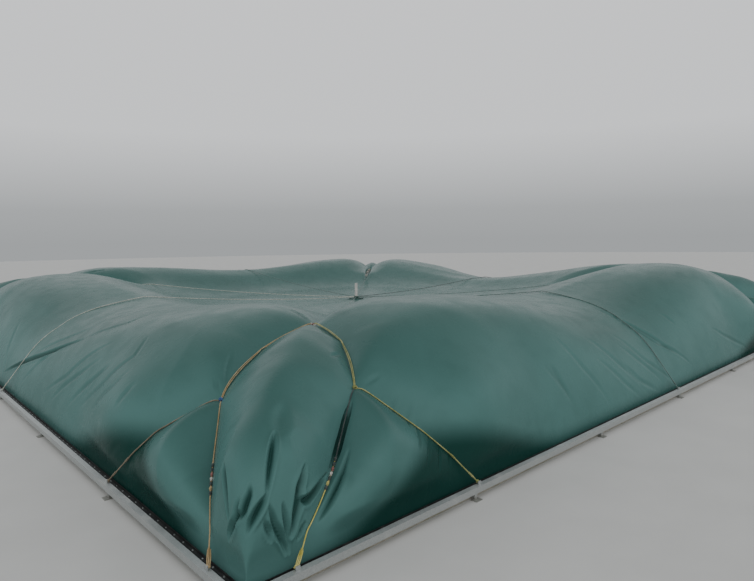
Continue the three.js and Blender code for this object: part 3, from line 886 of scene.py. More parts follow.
class RopeColour(Enum):
    """Colours of the ropes and lashings."""

    OLIVE = RopeFinish("rope_olive", (0.24, 0.25, 0.07), (0.40, 0.39, 0.16))
    YELLOW = RopeFinish("rope_yellow", (0.45, 0.40, 0.06), (0.55, 0.50, 0.18))
    TAN = RopeFinish("rope_tan", (0.17, 0.13, 0.08), (0.25, 0.20, 0.14))
    OCHRE = RopeFinish("rope_ochre", (0.33, 0.22, 0.09), (0.45, 0.34, 0.18))
    FADED = RopeFinish("rope_faded", (0.42, 0.43, 0.36), (0.56, 0.56, 0.50))
    DARK = RopeFinish("rope_dark", (0.03, 0.04, 0.04), (0.07, 0.09, 0.08))
    MOSSY = RopeFinish("rope_grey_green", (0.10, 0.15, 0.135), (0.14, 0.20, 0.18))
    BLUE = RopeFinish("rope_blue", (0.03, 0.10, 0.26), (0.10, 0.20, 0.36))
    RED = RopeFinish("rope_red", (0.18, 0.05, 0.045), (0.30, 0.13, 0.11))
    WHITE = RopeFinish("rope_white", (0.42, 0.40, 0.36), (0.56, 0.54, 0.49))


class Finishes:
    """Every material of the part, each built once."""

    def __init__(self) -> None:
        """Build the materials."""
        self.membrane = MembraneFinish().make()
        self.galvanised = GalvanisedFinish().make()
        self.concrete = ConcreteFinish().make()
        self.clamp = self._plain("black_coated_steel", (0.018, 0.019, 0.019), (0.045, 0.046, 0.043), 0.5, 40)
        self.rubber = self._plain("black_rubber", (0.012, 0.013, 0.014), (0.05, 0.052, 0.05))
        self.collar = self._plain("dark_green_rubber", (0.02, 0.07, 0.058), (0.05, 0.10, 0.088))
        self.pipe = self._plain("pale_plastic", (0.58, 0.55, 0.52), (0.68, 0.66, 0.62), 0.4, 60)
        self.ropes = {colour: colour.value.make() for colour in RopeColour}

    @staticmethod
    def _plain(*values: object) -> bpy.types.Material:
        """Build a plain finish from its name, colours, roughness and grain."""
        return PlainFinish(*values).make()

    def rope_set(self, *colours: RopeColour) -> list[bpy.types.Material]:
        """List the materials of some rope colours, in order."""
        return [self.ropes[colour] for colour in colours]


def seat(piece: bpy.types.Object, slot: str, *nodes: str) -> bpy.types.Object:
    """Put a piece on the body, and hide the nodes that it stands for.

    Args:
        piece: The piece.
        slot: Not used.
        *nodes: Nodes of the frame that it replaces.

    Returns:
        The same piece.
    """
    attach(piece, BODY)
    if nodes:
        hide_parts(*nodes)
    log.info("%s: %d faces", piece.name, len(piece.data.polygons))
    return piece


# Folds of the cover


@dataclass(frozen=True)
class Fold:
    """One fold along a line on the cover: below the surface in its middle, proud beside it."""

    path: np.ndarray
    width: float
    depth: float
    shoulder: float = 0.3
    shoulder_place: float = 1.55
    shoulder_sharpness: float = 1.6
    narrow_end: float = 0.45
    blunt_end: float = 0.02
    taper_power: float = 0.7
    widest: float = 3.0

    def push(self, points: np.ndarray, offset: np.ndarray) -> None:
        """Add the fold to the offsets of the points near it.

        Args:
            points: Places on the cover.
            offset: Offsets along the cover's normal, changed in place.
        """
        reach = self.widest * self.width
        low, high = self.path.min(0) - reach, self.path.max(0) + reach
        close = np.flatnonzero(np.all((points > low) & (points < high), axis=1))
        if not len(close):
            return
        here = points[close]
        nearest = np.full(len(close), np.inf)
        place = np.zeros(len(close))
        pieces = len(self.path) - 1
        for n, (a, b) in enumerate(zip(self.path, self.path[1:])):
            run = b - a
            t = np.clip((here - a) @ run / (run @ run), 0, 1)
            gap = np.linalg.norm(here - a - t[:, None] * run, axis=1)
            better = gap < nearest
            nearest[better] = gap[better]
            place[better] = ((n + t) / pieces)[better]
        inner = mix(self.blunt_end, 1 - self.blunt_end, place)
        taper = np.clip(np.sin(np.pi * inner), 0, 1) ** self.taper_power
        across = nearest / (self.width * mix(self.narrow_end, 1, taper))
        beside = np.exp(-((across - self.shoulder_place) ** 2) * self.shoulder_sharpness)
        offset[close] += self.depth * taper * (self.shoulder * beside - np.exp(-(across**2)))


@dataclass(frozen=True)
class FoldLine:
    """A fold as it is laid out: stations of along and inward from one end of a side."""

    stations: tuple[Plan, ...]
    width: float
    depth: float


def fold_family(width: float, depth: float, *lines: Sequence[Plan]) -> tuple[FoldLine, ...]:
    """Give the stations of several folds one half width and depth."""
    return tuple(FoldLine(tuple(line), width, depth) for line in lines)


PETAL_FOLDS = (
    *fold_family(0.12, 0.03, ((1.25, 1.0), (0.85, 0.6))),
    *fold_family(
        0.048,
        0.08,
        ((0.85, 0.65), (0.65, 0.45), (0.4, 0.2)),
        ((0.4, 0.2), (0.25, 0.15), (0.1, 0.1)),
        ((0.3, 0.3), (0.25, 0.25), (0.15, 0.2), (0.1, 0.3)),
    ),
    *fold_family(
        0.042,
        0.065,
        ((0.4, 0.15), (0.45, 0.08), (0.6, 0.02)),
        ((0.35, 0.85), (0.2, 0.6), (0.1, 0.45)),
        ((0.2, 0.3), (0.1, 0.3), (0.05, 0.45)),
    ),
    *fold_family(
        0.06,
        0.085,
        ((1.1, 0.4), (0.85, 0.15), (0.7, 0.05)),
        ((1.6, 0.5), (1.05, 0.2), (0.7, 0.05)),
    ),
    *fold_family(
        0.038,
        0.05,
        ((0.6, 0.15), (0.65, 0.02)),
        ((0.3, 0.1), (0.4, 0.05)),
        ((0.95, 0.07), (0.8, 0.04)),
    ),
)
RIGHT_KNOT_FOLDS = (
    *fold_family(0.075, 0.11, ((2.6, 1.05), (2.05, 0.75), (1.7, 0.55))),
    *fold_family(0.06, 0.07, ((2.05, 0.6), (1.4, 0.25), (1.2, 0.15))),
    *fold_family(0.07, 0.035, ((4.45, 4.3), (5.3, 4.5))),
    *fold_family(
        0.05,
        0.025,
        ((2.8, 1.8), (3.25, 2.05)),
        ((2.65, 1.25), (2.9, 1.25)),
        ((3.0, 1.2), (3.35, 1.2)),
    ),
    *fold_family(
        0.04,
        0.03,
        ((3.5, 0.95), (3.2, 0.75)),
        ((3.7, 0.8), (3.3, 0.55)),
        ((3.7, 0.65), (3.2, 0.3)),
        ((3.85, 0.5), (3.3, 0.2)),
        ((3.95, 0.35), (3.6, 0.15)),
        ((4.1, 0.25), (3.9, 0.1)),
    ),
)
LEFT_KNOT_FOLDS = (
    *fold_family(0.07, 0.03, ((4.4, 4.25), (5.3, 4.3))),
    *fold_family(0.04, 0.028, ((3.2, 1.3), (3.0, 1.35)), ((2.9, 1.35), (3.3, 1.6), (3.7, 1.95))),
    *fold_family(
        0.045,
        0.012,
        ((4.3, 0.25), (4.85, 0.05)),
        ((4.0, 0.4), (4.15, 0.1)),
        ((3.8, 0.5), (3.2, 0.25)),
    ),
)
MIDDLE_FOLDS = (
    *fold_family(0.065, 0.035, ((12.85, 2.1), (13.2, 1.55), (13.6, 1.0), (14.1, 0.55), (15.1, 0.15))),
    *fold_family(0.055, 0.03, ((12.95, 1.9), (13.25, 1.2), (13.7, 0.7), (14.5, 0.35))),
)
FAN_FOLDS = fold_family(
    0.065,
    0.022,
    ((11.8, 1.1), (12.5, 0.45), (13.6, 0.05)),
    ((11.6, 0.8), (12.0, 0.55), (12.95, 0.1)),
    ((10.2, 1.0), (11.0, 0.45), (11.9, 0.05)),
    ((10.0, 0.6), (10.9, 0.2), (11.45, 0.05)),
    ((8.75, 1.0), (9.15, 0.5), (9.85, 0.05)),
    ((7.7, 0.6), (8.3, 0.15)),
    ((7.9, 0.6), (8.2, 0.25)),
    ((17.6, 0.4), (18.4, 0.25), (20.2, 0.05)),
    ((15.3, 1.15), (15.5, 0.75)),
    ((11.1, 0.5), (11.7, 0.2), (12.5, 0.05)),
)
LONG_FOLDS = (
    *fold_family(0.06, 0.1, ((14.45, 0.15), (11.8, 0.7), (10.1, 1.2))),
    *fold_family(
        0.065,
        0.026,
        ((10.1, 1.2), (8.65, 1.85), (9.1, 2.65)),
        ((12.65, 0.65), (11.35, 1.25), (10.65, 1.65)),
        ((10.15, 0.2), (9.1, 0.45), (8.35, 0.95), (7.8, 1.2)),
        ((9.45, 0.15), (8.3, 0.55), (7.7, 0.85)),
        ((8.15, 0.2), (7.25, 0.6), (6.8, 0.85)),
        ((7.4, 0.25), (6.55, 0.55), (5.95, 1.0), (6.35, 1.4)),
        ((6.5, 0.3), (5.65, 0.6), (5.5, 0.85)),
        ((4.85, 0.45), (4.8, 0.75)),
        ((12.4, 0.15), (11.7, 0.6), (11.0, 0.9)),
    ),
)
FAR_VALLEY = FoldLine(((4.0, 4.0), (4.8, 4.8), (6.0, 6.0), (7.8, 7.8)), 0.16, 0.12)


@dataclass
class FoldLayout:
    """All folds of the cover: given ones at the near corner, and varied ones elsewhere."""

    shape: CoverShape
    seed: int = 11
    swell: float = 0.003
    swell_waves: int = 10
    swell_pitch: float = 1.2
    swell_phase: float = 6.28
    steps: int = 13
    least_station: float = 0.005
    vary_size: float = 0.1
    vary_place: float = 0.05
    vary_depth: Plan = (0.6, 1.1)
    vary_width: Plan = (0.85, 1.25)
    rope_hold: Plan = (0.7, 0.93)
    low_fade: Plan = (0.09, 0.17)
    edge_fade: Plan = (0.0, 0.01)

    def _line(self, side: int, end: int, fold: FoldLine, rng: np.random.Generator | None) -> Fold:
        """Lay one fold on the cover, varied where a generator is given.

        Args:
            side: Number of the side.
            end: End of the side that its stations count from.
            fold: The fold.
            rng: Generator of the variation, or None.

        Returns:
            The fold on the cover.
        """
        stations = np.array(fold.stations)
        width, depth = fold.width, fold.depth
        if rng is not None:
            stations = stations * (1 + rng.uniform(-self.vary_size, self.vary_size, 2))
            stations = stations + rng.uniform(-self.vary_place, self.vary_place, 2)
            depth *= rng.uniform(*self.vary_depth)
            width *= rng.uniform(*self.vary_width)
        stations = np.clip(stations, self.least_station, None)
        plan = [along_line(stations, t) for t in np.linspace(0, 1, self.steps)]
        return Fold(self.shape.points(side, end, plan), width, depth)

    def folds(self) -> list[Fold]:
        """Lay out every fold.

        Returns:
            The folds, on the cover.
        """
        out = []
        rng = np.random.default_rng(self.seed)
        for corner in range(4):
            sides = [(corner, 0), ((corner + 3) % 4, 1)]
            right, left = sides if corner % 2 == 0 else sides[::-1]
            vary = rng if corner else None
            out += [self._line(*right, fold, vary) for fold in PETAL_FOLDS + RIGHT_KNOT_FOLDS]
            out += [self._line(*left, fold, vary) for fold in LEFT_KNOT_FOLDS]
        out.append(self._line(2, 0, FAR_VALLEY, None))
        for side in range(4):
            if side == 3:
                out += [self._line(side, 1, fold, None) for fold in LONG_FOLDS]
                out += [self._line(side, 0, fold, rng) for fold in FAN_FOLDS[2:7]]
                continue
            vary = rng if side else None
            out += [self._line(side, 0, fold, vary) for fold in MIDDLE_FOLDS + FAN_FOLDS]
            if side:
                out += [self._line(side, 1, fold, rng) for fold in LONG_FOLDS[2:]]
        return out

    def offsets(self, points: np.ndarray, plan: np.ndarray) -> np.ndarray:
        """Find how far each point of the cover stands off the smooth shape.

        Args:
            points: Places on the smooth cover.
            plan: Their plan points.

        Returns:
            Offsets along the normals.
        """
        offset = np.zeros(len(points))
        for fold in self.folds():
            fold.push(points, offset)
        rng = np.random.default_rng(self.seed + 1)
        for _ in range(self.swell_waves):
            wave = rng.normal(0, self.swell_pitch, 3)
            offset += self.swell * np.sin(points @ wave + rng.uniform(0, self.swell_phase))
        under_rope = self.shape.creased_height(plan[:, 0], plan[:, 1])[1]
        offset = np.where(offset > 0, offset * (1 - fade(under_rope, *self.rope_hold)), offset)
        distance = self.shape.from_foot(plan[:, 0], plan[:, 1])[0]
        return offset * fade(points[:, 2], *self.low_fade) * fade(distance, *self.edge_fade)


# The cover


@dataclass(frozen=True)
class PanelGrid:
    """Plan points of one panel, row by row from its foot."""

    name: str
    plans: tuple[np.ndarray, ...]
    flips: tuple[bool, ...]


@dataclass
class Cover:
    """The membrane: eight lobes and four corner panels, one continuous surface."""

    shape: CoverShape
    finishes: Finishes
    rows_to_fork: int = 106
    rows_above: int = 70
    low_row_share: float = 0.6
    rope_row_ease: float = 1.6
    fork_row: float = 4.0
    last_row: float = 11.0
    middle_last_row: float = 10.0
    flat_row: float = 0.56
    petal_columns: tuple[int, int] = (150, 44)
    pocket_columns: tuple[int, int] = (120, 50)
    lobe_columns: tuple[int, int] = (145, 84)
    diagonal_row_ease: float = 1.5
    fine_rows: int = 400
    stretch: float = 1.03
    lobe_cut: Plan = (13.4, 14.2)
    corner_cut: Plan = (5.6, 5.6)
    # Painted shade in the folds: full at this fold depth, eased by this power.
    fold_shade_full_depth: float = 0.06
    fold_shade_power: float = 2.2
    steps_per_metre: float = 1e5

    def _rope_row(self, anchor: float, i: float) -> Plan:
        """Place row i on a rope's line.

        Args:
            anchor: How far along the foot the rope's line starts.
            i: Number of the row.

        Returns:
            The plan point.
        """
        shape = self.shape
        node = (shape.node_inset, shape.node_inset)
        if i <= self.fork_row:
            return along_line([(anchor, 0.0), shape.junction], (i / self.fork_row) ** self.rope_row_ease)
        share = (i - self.fork_row) / (self.last_row - self.fork_row)
        return along_line([shape.junction, shape.bend, node], share)

    def _middle_row(self, i: float) -> Plan:
        """Place row i on the middle line of a side.

        Args:
            i: Number of the row.

        Returns:
            The plan point.
        """
        far = self.shape.foot_half
        if i <= self.middle_last_row:
            return far, (far - self.flat_row) * (i / self.middle_last_row) ** 2
        end = far - self.shape.hole_radius * math.sqrt(0.5)
        share = (i - self.middle_last_row) / (self.last_row - self.middle_last_row)
        return mix(far, end, share), mix(far - self.flat_row, end, share)

    def _diagonal_row(self, i: float) -> Plan:
        """Place row i on the line from a corner to its knot."""
        inset = self.shape.node_inset * (i / self.last_row) ** self.diagonal_row_ease
        return inset, inset

    def _rows(self) -> np.ndarray:
        """Number the rows so that they lie evenly on the corner rope's line, and closer at its foot.

        Returns:
            The row numbers.
        """
        out = []
        fork, last = self.fork_row, self.last_row
        for start, end, count in ((0, fork, self.rows_to_fork), (fork, last, self.rows_above)):
            fine = np.linspace(start, end, self.fine_rows)
            plan = [self._rope_row(self.shape.corner_anchor, i) for i in fine]
            run = distances(self.shape.points(0, 0, plan))
            shares = np.linspace(0, 1, count + 1)
            shares = shares * mix(self.low_row_share, 1, shares) if start == 0 else shares
            out.append(np.interp(shares * run[-1], run, fine))
        return np.concatenate([out[0], out[1][1:]])

    def _grid(
        self, side: int, end: int, rows: np.ndarray, lines: Sequence[Callable[[float], Plan]], columns: int
    ) -> np.ndarray:
        """Lay plan points between two lines.

        Args:
            side: Number of the side.
            end: End of the side.
            rows: Row numbers.
            lines: Functions that place a row on each line.
            columns: Columns between the lines.

        Returns:
            An array of rows by columns by two.
        """
        shares = np.linspace(0, 1, columns + 1)[None, :, None]
        left, right = (
            np.array([self.shape.plan_point(side, end, *line(i)) for i in rows])[:, None] for line in lines
        )
        return left + (right - left) * shares

    def _panels(self) -> list[PanelGrid]:
        """Lay the plan grids of all twelve panels.

        Returns:
            The panels.
        """
        rows = self._rows()
        low_rows = rows[: self.rows_to_fork + 1]
        corner_line = partial(self._rope_row, self.shape.corner_anchor)
        side_line = partial(self._rope_row, self.shape.side_anchor)
        lobe_lines, petal_lines = (side_line, self._middle_row), (self._diagonal_row, corner_line)
        panels = []
        for side, name in enumerate(SIDES):
            for end in (0, 1):
                columns = self.lobe_columns[side in (1, 2)]
                plan = self._grid(side, end, rows, lobe_lines, columns)
                panels.append(PanelGrid(f"cover_{name}_{end + 1}", (plan,), (end == 1,)))
        for corner, name in enumerate(CORNERS):
            plans, flips = [], []
            petal, pocket = self.petal_columns[corner > 0], self.pocket_columns[corner > 0]
            for side, end in ((corner, 0), ((corner + 3) % 4, 1)):
                plans.append(self._grid(side, end, rows, petal_lines, petal))
                plans.append(self._grid(side, end, low_rows, (corner_line, side_line), pocket))
                flips += [end == 1, end == 1]
            panels.append(PanelGrid(f"cover_corner_{name}", tuple(plans), tuple(flips)))
        return panels

    @staticmethod
    def _triangles(rows: int, columns: int, flip: bool) -> np.ndarray:
        """List the triangles of a grid, facing out.

        Args:
            rows: Rows of the grid.
            columns: Columns of the grid.
            flip: True where the grid runs the other way round.

        Returns:
            One row of point numbers for each triangle.
        """
        i, j = np.meshgrid(np.arange(rows - 1), np.arange(columns - 1), indexing="ij")
        a = (i * columns + j).ravel()
        b, c, d = a + 1, a + columns + 1, a + columns
        out = np.concatenate([np.stack([a, b, c], -1), np.stack([a, c, d], -1)])
        return out[:, ::-1] if flip else out

    @staticmethod
    def _normals(points: np.ndarray, faces: np.ndarray) -> np.ndarray:
        """Find the smooth normals of a mesh.

        Args:
            points: The mesh's points.
            faces: Its triangles.

        Returns:
            One unit row for each point.
        """
        a, b, c = (points[faces[:, n]] for n in range(3))
        normal = np.cross(b - a, c - a)
        out = np.zeros_like(points)
        for n in range(3):
            for axis in range(3):
                out[:, axis] += np.bincount(faces[:, n], normal[:, axis], len(points))
        return unit(out)

    def build(self) -> list[bpy.types.Object]:
        """Make the twelve panels.

        Returns:
            The panels.
        """
        panels = self._panels()
        stacked = np.concatenate([plan.reshape(-1, 2) for panel in panels for plan in panel.plans])
        keys = np.round(stacked * self.steps_per_metre).astype(np.int64)
        _, first, index = np.unique(keys, axis=0, return_index=True, return_inverse=True)
        index = index.ravel()
        plan = stacked[first]
        start = 0
        faces_of = []
        for panel in panels:
            own = []
            for grid, flip in zip(panel.plans, panel.flips):
                own.append(index[self._triangles(*grid.shape[:2], flip) + start])
                start += grid.shape[0] * grid.shape[1]
            faces = np.concatenate(own)
            faces_of.append(faces[np.all(faces != np.roll(faces, 1, axis=1), axis=1)])
        every = np.concatenate(faces_of)
        smooth_points = self.shape.surface(plan[:, 0], plan[:, 1])
        normals = self._normals(smooth_points, every)
        offsets = FoldLayout(self.shape).offsets(smooth_points, plan)
        # Painted shade: a share that grows with how deep each point lies in a fold.
        fold_shade_shares = np.clip(-offsets / self.fold_shade_full_depth, 0, 1) ** self.fold_shade_power
        points = smooth_points + normals * offsets[:, None]
        points[:, 2] = np.maximum(points[:, 2], self.shape.foot_z)
        normals = self._normals(points, every)
        log.info("cover: %d points, %d faces", len(points), len(every))
        shared = (points, normals, fold_shade_shares)
        return [self._panel(panel.name, faces, *shared) for panel, faces in zip(panels, faces_of)]

    def _panel(
        self, name: str, faces: np.ndarray, points: np.ndarray, normals: np.ndarray, fold_shade_shares: np.ndarray
    ) -> bpy.types.Object:
        """Make one panel, with the normals and fold depths of the whole cover.

        Args:
            name: Name of the node that it stands for.
            faces: Its triangles.
            points: Every point of the cover.
            normals: Normal at each point.
            fold_shade_shares: Share of painted shade in the folds at each point.

        Returns:
            The panel.
        """
        used, own = np.unique(faces, return_inverse=True)
        sketch = Sketch()
        sketch.add(points[used], own.reshape(faces.shape))
        piece = sketch.build(name.replace("cover", "membrane"), [self.finishes.membrane], 180)
        piece.data.normals_split_custom_set_from_vertices(normals[used].tolist())
        piece.data.attributes.new(FOLD_PAINTED_SHADE, "FLOAT", "POINT").data.foreach_set("value", fold_shade_shares[used])
        seat(piece, "cover", name)
        return piece


# Ropes


@dataclass
class RopeWork:
    """The ropes that hold the cover down, with their knots, splices and lashings."""

    shape: CoverShape
    finishes: Finishes
    radius: float = 0.012
    lift: float = 0.014
    lift_at_knot: float = 0.07
    lay: float = 9.0
    far_lay: float = 5.4
    groove: float = 0.24
    spacing: float = 0.024
    far_spacing: float = 0.04
    near_sides: int = 8
    thin_sides: int = 6
    upper_points: int = 50
    lower_points: int = 30
    lower_ease: float = 1.8
    long_points: int = 70
    foot_points: int = 22
    foot_start: float = 0.02
    foot_ease: float = 1.6
    foot_reach: float = 0.015
    above_foot: float = 1.2
    knot_ease: float = 0.7
    pair_size: float = 0.75
    parted_size: float = 0.85
    knot_inward: float = -0.171
    knot_z: float = 0.253
    collar_reaches: tuple[float, ...] = (0.36, 0.22, 0.1)
    collar_rise: float = 0.08
    middle_gap: float = 0.75
    diagonal_gap: float = 0.55
    upper_start: float = 0.03
    pair_gap: float = 0.01
    sag: float = 0.1
    least_lead: int = 4
    bundle_at: float = 1.38
    bundle_length: float = 0.6
    bundle_finishes: tuple[int, ...] = (6, 6, 4, 5, 6, 2, 6)
    bundle_lift: float = 0.006
    bundle_knot: float = 0.013
    binding: float = 0.07
    doubled_end: float = 0.22
    doubled_reach: float = 0.016
    doubled_bow: float = 0.006
    knot_skew: tuple[float, ...] = (0.2, 0.5, 0.8)
    coil_skew: tuple[float, ...] = (0.3, 0.2, 0.9)
    coil_pitch: float = 0.014
    lug_knot: float = 0.022
    lug_knot_lift: float = 0.005
    lug_lashing: Plan = (0.24, 0.12)
    fork_knot: float = 0.03
    fork_lift: float = 0.034
    splice: Plan = (2.0, 0.1)
    ring_gap: float = 0.05
    ring_radius: float = 0.06
    ring_strand: float = 0.01
    ring_lift: float = 0.045
    ring_points: int = 41
    ring_sides: int = 10
    ring_slope_step: float = 0.2
    proud_knot: float = 0.06
    proud_lift: float = 0.03
    proud_places: tuple[int, ...] = (4, 12, 20, 28)
    knot_strand: float = 0.72
    knot_loops: int = 4
    knot_points: int = 19
    knot_scatter: float = 0.25
    coil_strand: float = 0.42
    coil_reach: float = 1.25

    def _on_cover(self, side: int, end: int, stations: Sequence[Plan], lift: Number) -> np.ndarray:
        """Lay a rope on the cover over some stations.

        Args:
            side: Number of the side.
            end: End of the side that the stations count from.
            stations: Pairs of along and inward.
            lift: How far the rope's middle lies over the cover.

        Returns:
            One row for each station.
        """
        plan = np.array([self.shape.plan_point(side, end, a, max(i, 0)) for a, i in stations])
        x, y = plan[:, 0], plan[:, 1]
        return self.shape.surface(x, y) + self.shape.normals(x, y) * np.reshape(lift, (-1, 1))

    def _lug(self, side: int, end: int, anchor: float) -> np.ndarray:
        """Find the place where a rope is tied to its lug.

        Args:
            side: Number of the side.
            end: End of the side.
            anchor: How far along the foot the rope passes.

        Returns:
            The place.
        """
        slope = (anchor - self.shape.junction[0]) / self.shape.junction[1]
        along = anchor if anchor == self.shape.foot_half else anchor - slope * self.knot_inward
        return np.array((*self.shape.plan_point(side, end, along, self.knot_inward), self.knot_z))

    def _lower(self, side: int, end: int, anchor: float) -> np.ndarray:
        """Lay one lower stretch, from the fork straight to its lug.

        Args:
            side: Number of the side.
            end: End of the side.
            anchor: How far along the foot it passes.

        Returns:
            Its path.
        """
        start, foot = np.array(self.shape.junction), np.array((anchor, self.foot_reach))
        shares = 1 - (1 - np.linspace(0, 1, self.lower_points)) ** self.lower_ease
        path = self._on_cover(side, end, mix(start, foot, shares[:, None]), self.lift)
        return self._tied(path, self._lug(side, end, anchor))

    @staticmethod
    def _tied(path: np.ndarray, lug: np.ndarray) -> np.ndarray:
        """Run a rope straight to its lug from the place where it leaves the cover.

        Args:
            path: Its path on the cover.
            lug: Place of the lug.

        Returns:
            The path that ends at the lug.
        """
        slope = (path[:, 2] - lug[2]) / np.hypot(path[:, 0] - lug[0], path[:, 1] - lug[1])
        high = path[: int(np.argmax(slope)) + 1]
        return np.concatenate([high, [mix(high[-1], lug, 0.5), lug]])

    def _taut(self, path: np.ndarray, end: np.ndarray) -> np.ndarray:
        """Lift a rope to the line that it takes over the hollow in the middle of the cover.

        Args:
            path: Its path on the cover.
            end: Where the taut stretch ends.

        Returns:
            The lifted path.
        """
        reach = np.hypot(path[:, 0] - end[0], path[:, 1] - end[1])
        lead = self.least_lead
        slope = (path[lead:-lead, 2] - end[2]) / reach[lead:-lead]
        leaves = int(np.argmax(slope)) + lead
        t = 1 - reach / reach[leaves]
        line = mix(path[leaves, 2], end[2], t) - 4 * self.sag * t * (1 - t)
        out = path.copy()
        out[leaves:, 2] = np.maximum(out[leaves:, 2], line[leaves:])
        return out

    def _knot(self, sketch: Sketch, place: np.ndarray, size: float, finish: int, seed: int) -> None:
        """Add a knot: a few tight loops round one place.

        Args:
            sketch: The sketch that it is added to.
            place: Its middle.
            size: Radius of the loops.
            finish: Number of its material.
            seed: Seed of the loops' directions.
        """
        rng = np.random.default_rng(seed)
        turn = circle(self.knot_points, True)[:, None]
        for _ in range(self.knot_loops):
            axis = unit(rng.normal(0, 1, 3))
            side = unit(np.cross(axis, self.knot_skew))
            ring = place + size * (np.cos(turn) * side + np.sin(turn) * np.cross(axis, side))
            ring += self.knot_scatter * size * rng.normal(0, 1, 3)
            sketch.add_tube(ring, self.radius * self.knot_strand, finish, self.thin_sides)

    def _lashing(self, sketch: Sketch, path: np.ndarray, start: float, length: float, finish: int) -> None:
        """Add a tight winding round a rope.

        Args:
            sketch: The sketch that it is added to.
            path: The rope's path.
            start: Distance along the rope where the winding starts.
            length: Length of the winding.
            finish: Number of its material.
        """
        turns = max(int(length / self.coil_pitch), 3)
        places = np.linspace(start, start + length, turns * 8 + 1)
        run = distances(path)
        middle = np.stack([np.interp(places, run, path[:, n]) for n in range(3)], -1)
        tangent = unit(np.gradient(middle, axis=0))
        across = unit(np.cross(tangent, self.coil_skew))
        angle = np.linspace(0, 2 * np.pi * turns, len(places))[:, None]
        around = np.cos(angle) * across + np.sin(angle) * np.cross(tangent, across)
        coil = middle + self.radius * self.coil_reach * around
        sketch.add_tube(coil, self.radius * self.coil_strand, finish, self.thin_sides)

    def _rope(self, sketch: Sketch, path: np.ndarray, finish: int, size: float = 1.0) -> np.ndarray:
        """Add one laid rope along a path.

        Args:
            sketch: The sketch that it is added to.
            path: The rope's middle line.
            finish: Number of its material.
            size: Its thickness, as a share of the usual one.

        Returns:
            The rope's even points.
        """
        even = resample(path, self.spacing)
        sketch.add_tube(even, self.radius * size, finish, self.near_sides, self.lay, self.groove)
        return even

    def _far_rope(self, sketch: Sketch, path: np.ndarray) -> np.ndarray:
        """Add a long rope along a path, more coarsely, and give its even points."""
        even = resample(path, self.far_spacing)
        sketch.add_tube(even, self.radius, 0, self.thin_sides, self.far_lay, self.groove)
        return even

    def _end_at_lug(self, sketch: Sketch, path: np.ndarray, finish: int, seed: int) -> None:
        """Finish a rope at its lug: a knot round it and a lashing before it.

        Args:
            sketch: The sketch that it is added to.
            path: The rope's path, which ends at the lug.
            finish: Number of its material.
            seed: Seed of the knot.
        """
        before, length = self.lug_lashing
        self._knot(sketch, path[-1] + (0, 0, self.lug_knot_lift), self.lug_knot, finish, seed)
        self._lashing(sketch, path, distances(path)[-1] - before, length, finish)

    def corner_rope(self, side: int, end: int) -> bpy.types.Object:
        """Make one forked rope, from a corner's knot down to its two lugs.

        Args:
            side: Number of the side.
            end: End of the side.

        Returns:
            The rope's object.
        """
        shape = self.shape
        near_right, near_left = (side, end) == (0, 0), (side, end) == (3, 1)
        upper_colour = RopeColour.OCHRE if near_left else RopeColour.OLIVE
        side_colour = RopeColour.OLIVE if near_right else RopeColour.TAN
        corner_colour = RopeColour.YELLOW if near_right else RopeColour.OCHRE
        lashings = (RopeColour.BLUE, RopeColour.RED, RopeColour.WHITE, RopeColour.DARK)
        sketch = Sketch()
        node = np.array([shape.node_inset, shape.node_inset])
        fork_plan, bend = np.array(shape.junction), np.array(shape.bend)
        control = 2 * bend - (node + fork_plan) / 2
        t = np.linspace(self.upper_start, 1, self.upper_points)[:, None]
        upper = (1 - t) ** 2 * node + 2 * t * (1 - t) * control + t**2 * fork_plan
        for shift in (-self.pair_gap, self.pair_gap):
            line = upper + (shift, -0.5 * shift)
            proud = mix(self.lift_at_knot, self.lift, t**self.knot_ease)
            self._rope(sketch, self._on_cover(side, end, line, proud), 0, self.pair_size)
        side_path = self._rope(sketch, self._lower(side, end, shape.side_anchor), 1)
        corner_path = resample(self._lower(side, end, shape.corner_anchor), self.spacing)
        self._parted_rope(sketch, corner_path, 6 if near_right else 2, 2)
        for finish, path in ((1, side_path), (2, corner_path)):
            self._end_at_lug(sketch, path, finish, 7 * side + end + finish)
        fork = self._on_cover(side, end, [shape.junction], self.fork_lift)[0]
        self._knot(sketch, fork, self.fork_knot, 3 if near_left else 0, 5 + side)
        self._lashing(sketch, side_path, *self.splice, 1)
        name = f"corner_rope_{SIDES[side]}_{end + 1}"
        colours = self.finishes.rope_set(upper_colour, side_colour, corner_colour, *lashings)
        piece = sketch.build(name.replace("rope", "stay"), colours, 60)
        return seat(piece, "rope", name)

    def _parted_rope(self, sketch: Sketch, path: np.ndarray, above: int, below: int) -> None:
        """Add a rope of two lengths, bound together in a lumpy bundle and doubled at its lug.

        Args:
            sketch: The sketch that it is added to.
            path: The rope's even points.
            above: Number of the upper length's material.
            below: Number of the lower length's material.
        """
        run = distances(path)
        start, end = self.bundle_at, self.bundle_at + self.bundle_length
        self._rope(sketch, path[run < end], above, self.parted_size)
        self._rope(sketch, path[run > start], below, self.parted_size)
        for n, finish in enumerate(self.bundle_finishes):
            place = start + (n + 0.5) * self.bundle_length / len(self.bundle_finishes)
            middle = np.array([np.interp(place, run, path[:, axis]) for axis in range(3)])
            self._lashing(sketch, path, place - self.binding / 2, self.binding, finish)
            self._knot(sketch, middle + (0, 0, self.bundle_lift), self.bundle_knot, finish, 60 + n)
        tail = path[run > run[-1] - self.doubled_end]
        across = unit(np.cross(np.gradient(tail, axis=0), (0, 0, 1)))
        bow = np.sin(np.linspace(0, np.pi, len(tail)))[:, None]
        for sign in (-1, 1):
            wide = sign * (self.doubled_reach + self.doubled_bow * bow)
            self._rope(sketch, tail + wide * across, below, self.pair_size)

